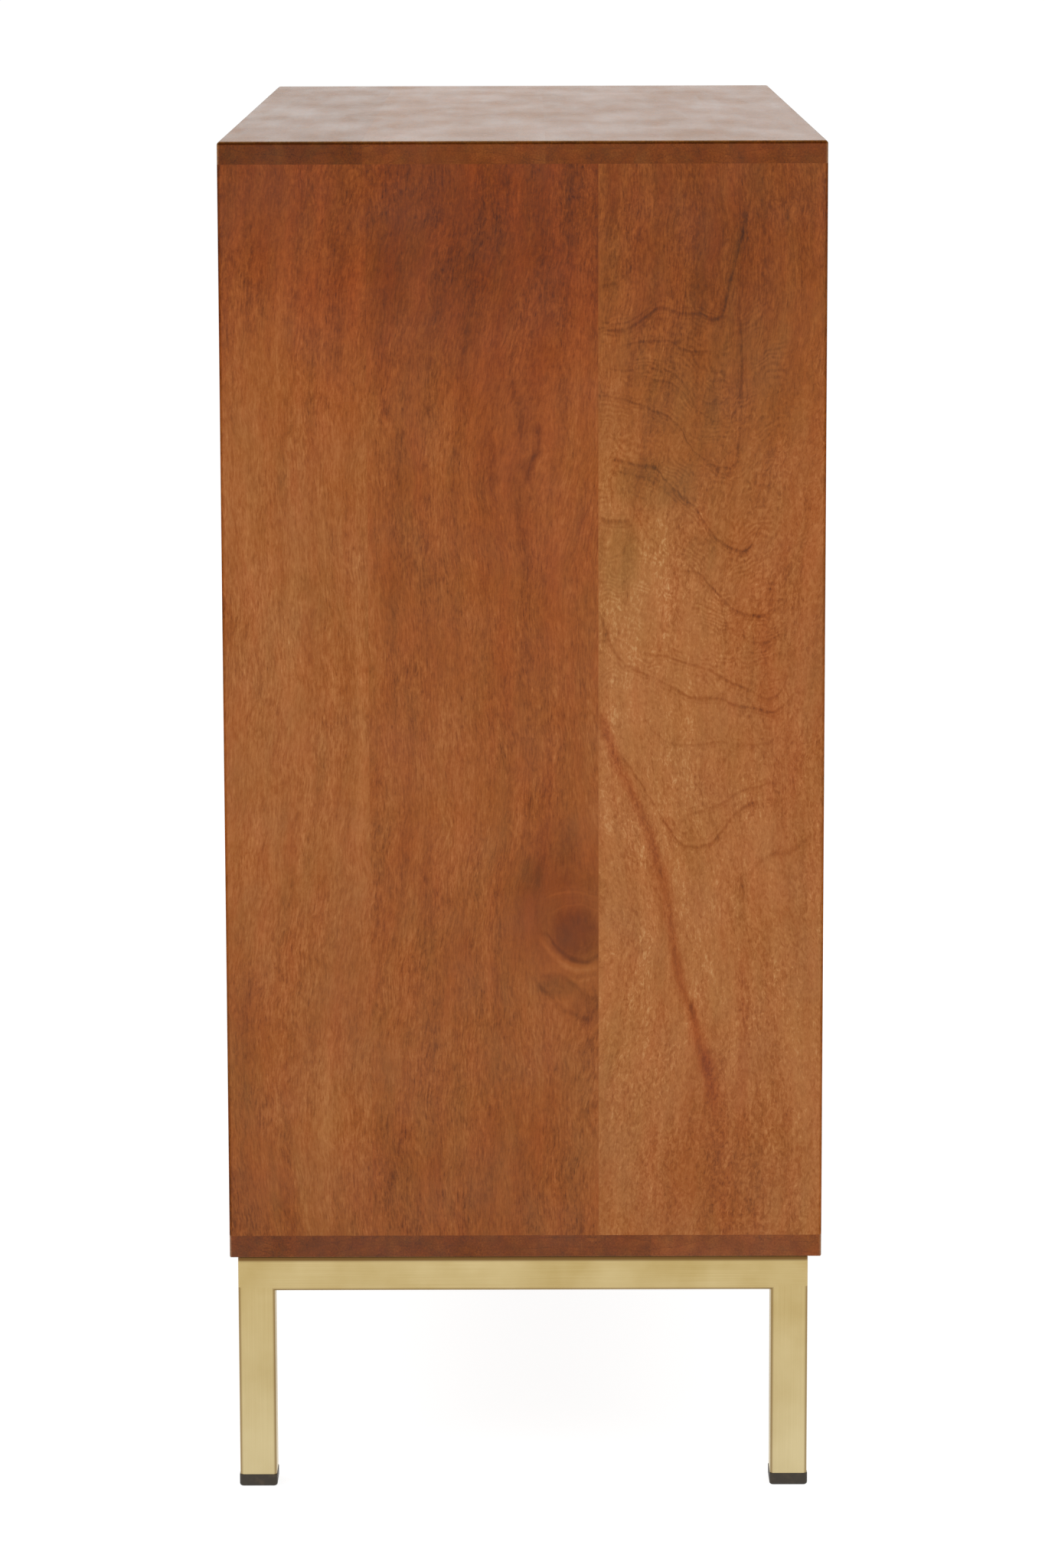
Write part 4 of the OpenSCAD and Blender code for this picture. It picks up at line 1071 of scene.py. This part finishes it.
def shading_group():
    """Joins a node's loose triangles and smooths the normals over its rounded edges."""
    tree = new_group("even_shading", "GeometryNodeTree", "NodeSocketGeometry", "Geometry", "Geometry")
    given = add("NodeGroupInput", tree=tree)[0]
    joined = add("GeometryNodeMergeByDistance", {0: given, "Distance": 0.005 * MM})[0]
    free = add("GeometryNodeRemoveAttribute", {0: joined, "Name": "custom_normal"})[0]
    smooth = add("GeometryNodeSetShadeSmooth", {0: free, "Shade Smooth": True}, domain="FACE")[0]
    angle = add("GeometryNodeInputMeshEdgeAngle", tree=tree)[0]
    sharp = add("FunctionNodeCompare", {0: angle, 1: SHARP_ANGLE}, operation="GREATER_THAN")[0]
    edged = add("GeometryNodeSetShadeSmooth", {0: smooth, "Selection": sharp, "Shade Smooth": False},
                domain="EDGE")[0]
    add("NodeGroupOutput", {0: edged})
    return tree


EVEN_SHADING = shading_group()


def dress(names, material):
    """Gives CAD nodes their finish, without touching their meshes."""
    for name in names:
        node = nodes[name]
        for place in node.material_slots:
            place.link = "OBJECT"
            place.material = material
        even = node.modifiers.new("even_shading", "NODES")
        even.node_group = EVEN_SHADING
        weigh_normals(node, "flat_faces")


def on_both(name):
    return ["left_" + name, "right_" + name]


def build_carcass():
    figured = figured_wood("mango_lacquered_figured")
    staves = [(0.34, 0.0, 0.12), (0.43, 0.0, 0.64), (0.41, 0.0, 0.33), (0.41, 0.0, 0.87)]
    top = mango_wood("mango_lacquered_top", "X", "Y", CASE_LOW.y - 25 * MM, STAVE, staves, coat=0.48)
    staves = [(0.39, 0.0, 0.42), (0.39, 0.0, 0.91), (0.42, 0.0, 0.27), (0.50, 0.0, 0.66)]
    bottom = mango_wood("mango_lacquered_bottom", "X", "Y", CASE_LOW.y - 75 * MM, STAVE, staves, coat=0.7)
    lengthways = mango_wood("mango_lacquered_lengthways", "X", "Y", CASE_LOW.y - 60 * MM)
    upright = mango_wood("mango_lacquered_upright", "Z", "Y", CASE_LOW.y - 40 * MM)
    straight = plain_wood("hardwood_oiled_deep", "Y", "X")
    back = plywood("plywood_stained_back", "Z", "X", "Y", Y_PLY, CASE_HIGH.y - Y_PLY)
    make_top_board(top)
    make_end_board("left", -1, figured)
    make_end_board("right", 1, figured)
    dress(["bottom_board"], bottom)
    dress(on_both("deck") + on_both("shelf"), lengthways)
    dress(["centre_divider"], upright)
    dress(["back_panel"], back)
    dress(["drawer_runners", "drawer_stops"], straight)
    dress(["carcass_dowels"], plain_wood("hardwood_dowel", "Z", "X"))


def build_base():
    brass = {axis: satin_brass("brass_satin_along_" + axis.lower(), axis) for axis in "XYZ"}
    for i, (name, axis) in enumerate((("back_rail", "X"), ("left_end_rail", "Y"), ("front_rail", "X"),
                                      ("right_end_rail", "Y"))):
        make_rail(name, i, brass[axis])
    for name, place, _, _ in leg_places():
        make_leg(name, place, brass["Z"])
    make_welds(brass["Z"])
    make_caps(moulded_plastic("polyethylene_black_moulded", "#30281c", "#493d2d", 0.5))
    dress(["fixing_tabs"], brass["X"])
    return brass


def build_fronts(brass):
    doors = mango_wood("mango_lacquered_door", "Z", "X", -0.60, 106)
    drawers = mango_wood("mango_lacquered_drawer", "X", "Z", 0.0, 200)
    battens = mango_wood("mango_lacquered_batten", "X", "Z", -0.03, 150)
    sides = plain_wood("hardwood_oiled_side", "Y", "Z")
    backs = plain_wood("hardwood_oiled_back", "X", "Z")
    low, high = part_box("right_drawer_bottom")
    bottoms = plywood("plywood_stained_bottom", "X", "Y", "Z", low.z, high.z - low.z)
    dress(on_both("door_panel"), doors)
    dress(on_both("door_battens"), battens)
    dress(on_both("drawer_front"), drawers)
    dress(on_both("drawer_outer_side") + on_both("drawer_inner_side"), sides)
    dress(on_both("drawer_back"), backs)
    dress(on_both("drawer_bottom"), bottoms)
    for side in ("left", "right"):
        make_pull(side + "_drawer_pull", side + "_drawer", brass["X"])
        make_pull(side + "_door_pull", side + "_door", brass["Z"])


def build_fittings(brass):
    steel = zinc_steel("steel_zinc_plated")
    cream = moulded_plastic("abs_cream_moulded", "#d8d2c2", "#c6bfae", 0.45)
    dress(on_both("door_pivots") + on_both("door_sockets") + ["shelf_supports"], brass["Z"])
    dress(on_both("door_catch"), cream)
    screws = ["back_panel_screws", "cabinet_screws", "fixing_screws"]
    dress(screws + on_both("door_screws") + on_both("drawer_screws") + on_both("door_strike"), steel)


# Studio

WHITE = "#ffffff"
# Light from all round on the object, against 1 for what the camera, metal and glass see of the white room
AMBIENT = 0.50


def seen_directly(tree):
    """1 for rays from the camera, a mirror or a glass, 0 for the light that falls on the object."""
    rays = add("ShaderNodeLightPath", tree=tree)
    seen = calc("MAXIMUM", rays["Is Camera Ray"], rays["Is Glossy Ray"])
    return calc("MAXIMUM", seen, rays["Is Transmission Ray"])


def make_world():
    world = bpy.data.worlds.new("studio")
    world.use_nodes = True
    tree = world.node_tree
    strength = remap(seen_directly(tree), 0.0, 1.0, AMBIENT, 1.0)
    connect(tree.nodes["Background"].inputs, {"Color": srgb(WHITE), "Strength": strength})
    bpy.context.scene.world = world


def make_floor():
    """A wide white floor. Seen directly it is darker but glows: white with a faint shadow at the feet."""
    reach = 60.0
    mesh = bpy.data.meshes.new("floor")
    corners = [(-reach, -reach, 0), (reach, -reach, 0), (reach, reach, 0), (-reach, reach, 0)]
    mesh.from_pydata(corners, [], [(0, 1, 2, 3)])
    floor = new_object("floor", mesh)
    material, tree, shader = new_material("floor_white")
    seen = seen_directly(tree)
    connect(shader, {
        "Base Color": blend(seen, srgb("#e4e4e4"), srgb("#8a8a8a")),
        "Roughness": 0.9,
        "Specular IOR Level": 0.0,
        "Emission Color": srgb(WHITE),
        "Emission Strength": seen * 0.9})
    mesh.materials.append(material)


LAMP_AIM = (0.0, 0.0, 0.5)


def make_lamp(name, place, size, power):
    """A soft square lamp that lights the object but doesn't show in its lacquer or brass."""
    data = bpy.data.lights.new(name, "AREA")
    data.size = size
    data.energy = power
    lamp = new_object(name, data)
    lamp.visible_glossy = False
    lamp.location = place
    x, y, z = np.subtract(place, LAMP_AIM)
    lamp.rotation_euler = (math.atan2(math.hypot(x, y), z), 0, math.atan2(y, x) + math.pi / 2)


def make_studio():
    make_world()
    make_floor()
    make_lamp("key", (2.6, -2.6, 2.6), 1.8, 52)
    make_lamp("fill", (2.8, 2.6, 1.8), 2.2, 40)
    make_lamp("rear", (-2.8, 1.6, 2.4), 2.2, 40)
    make_lamp("front", (-1.6, -3.2, 2.0), 2.2, 38)


build_carcass()
brass_by_axis = build_base()
build_fronts(brass_by_axis)
build_fittings(brass_by_axis)
make_studio()
bpy.context.scene.view_settings.view_transform = "Standard"
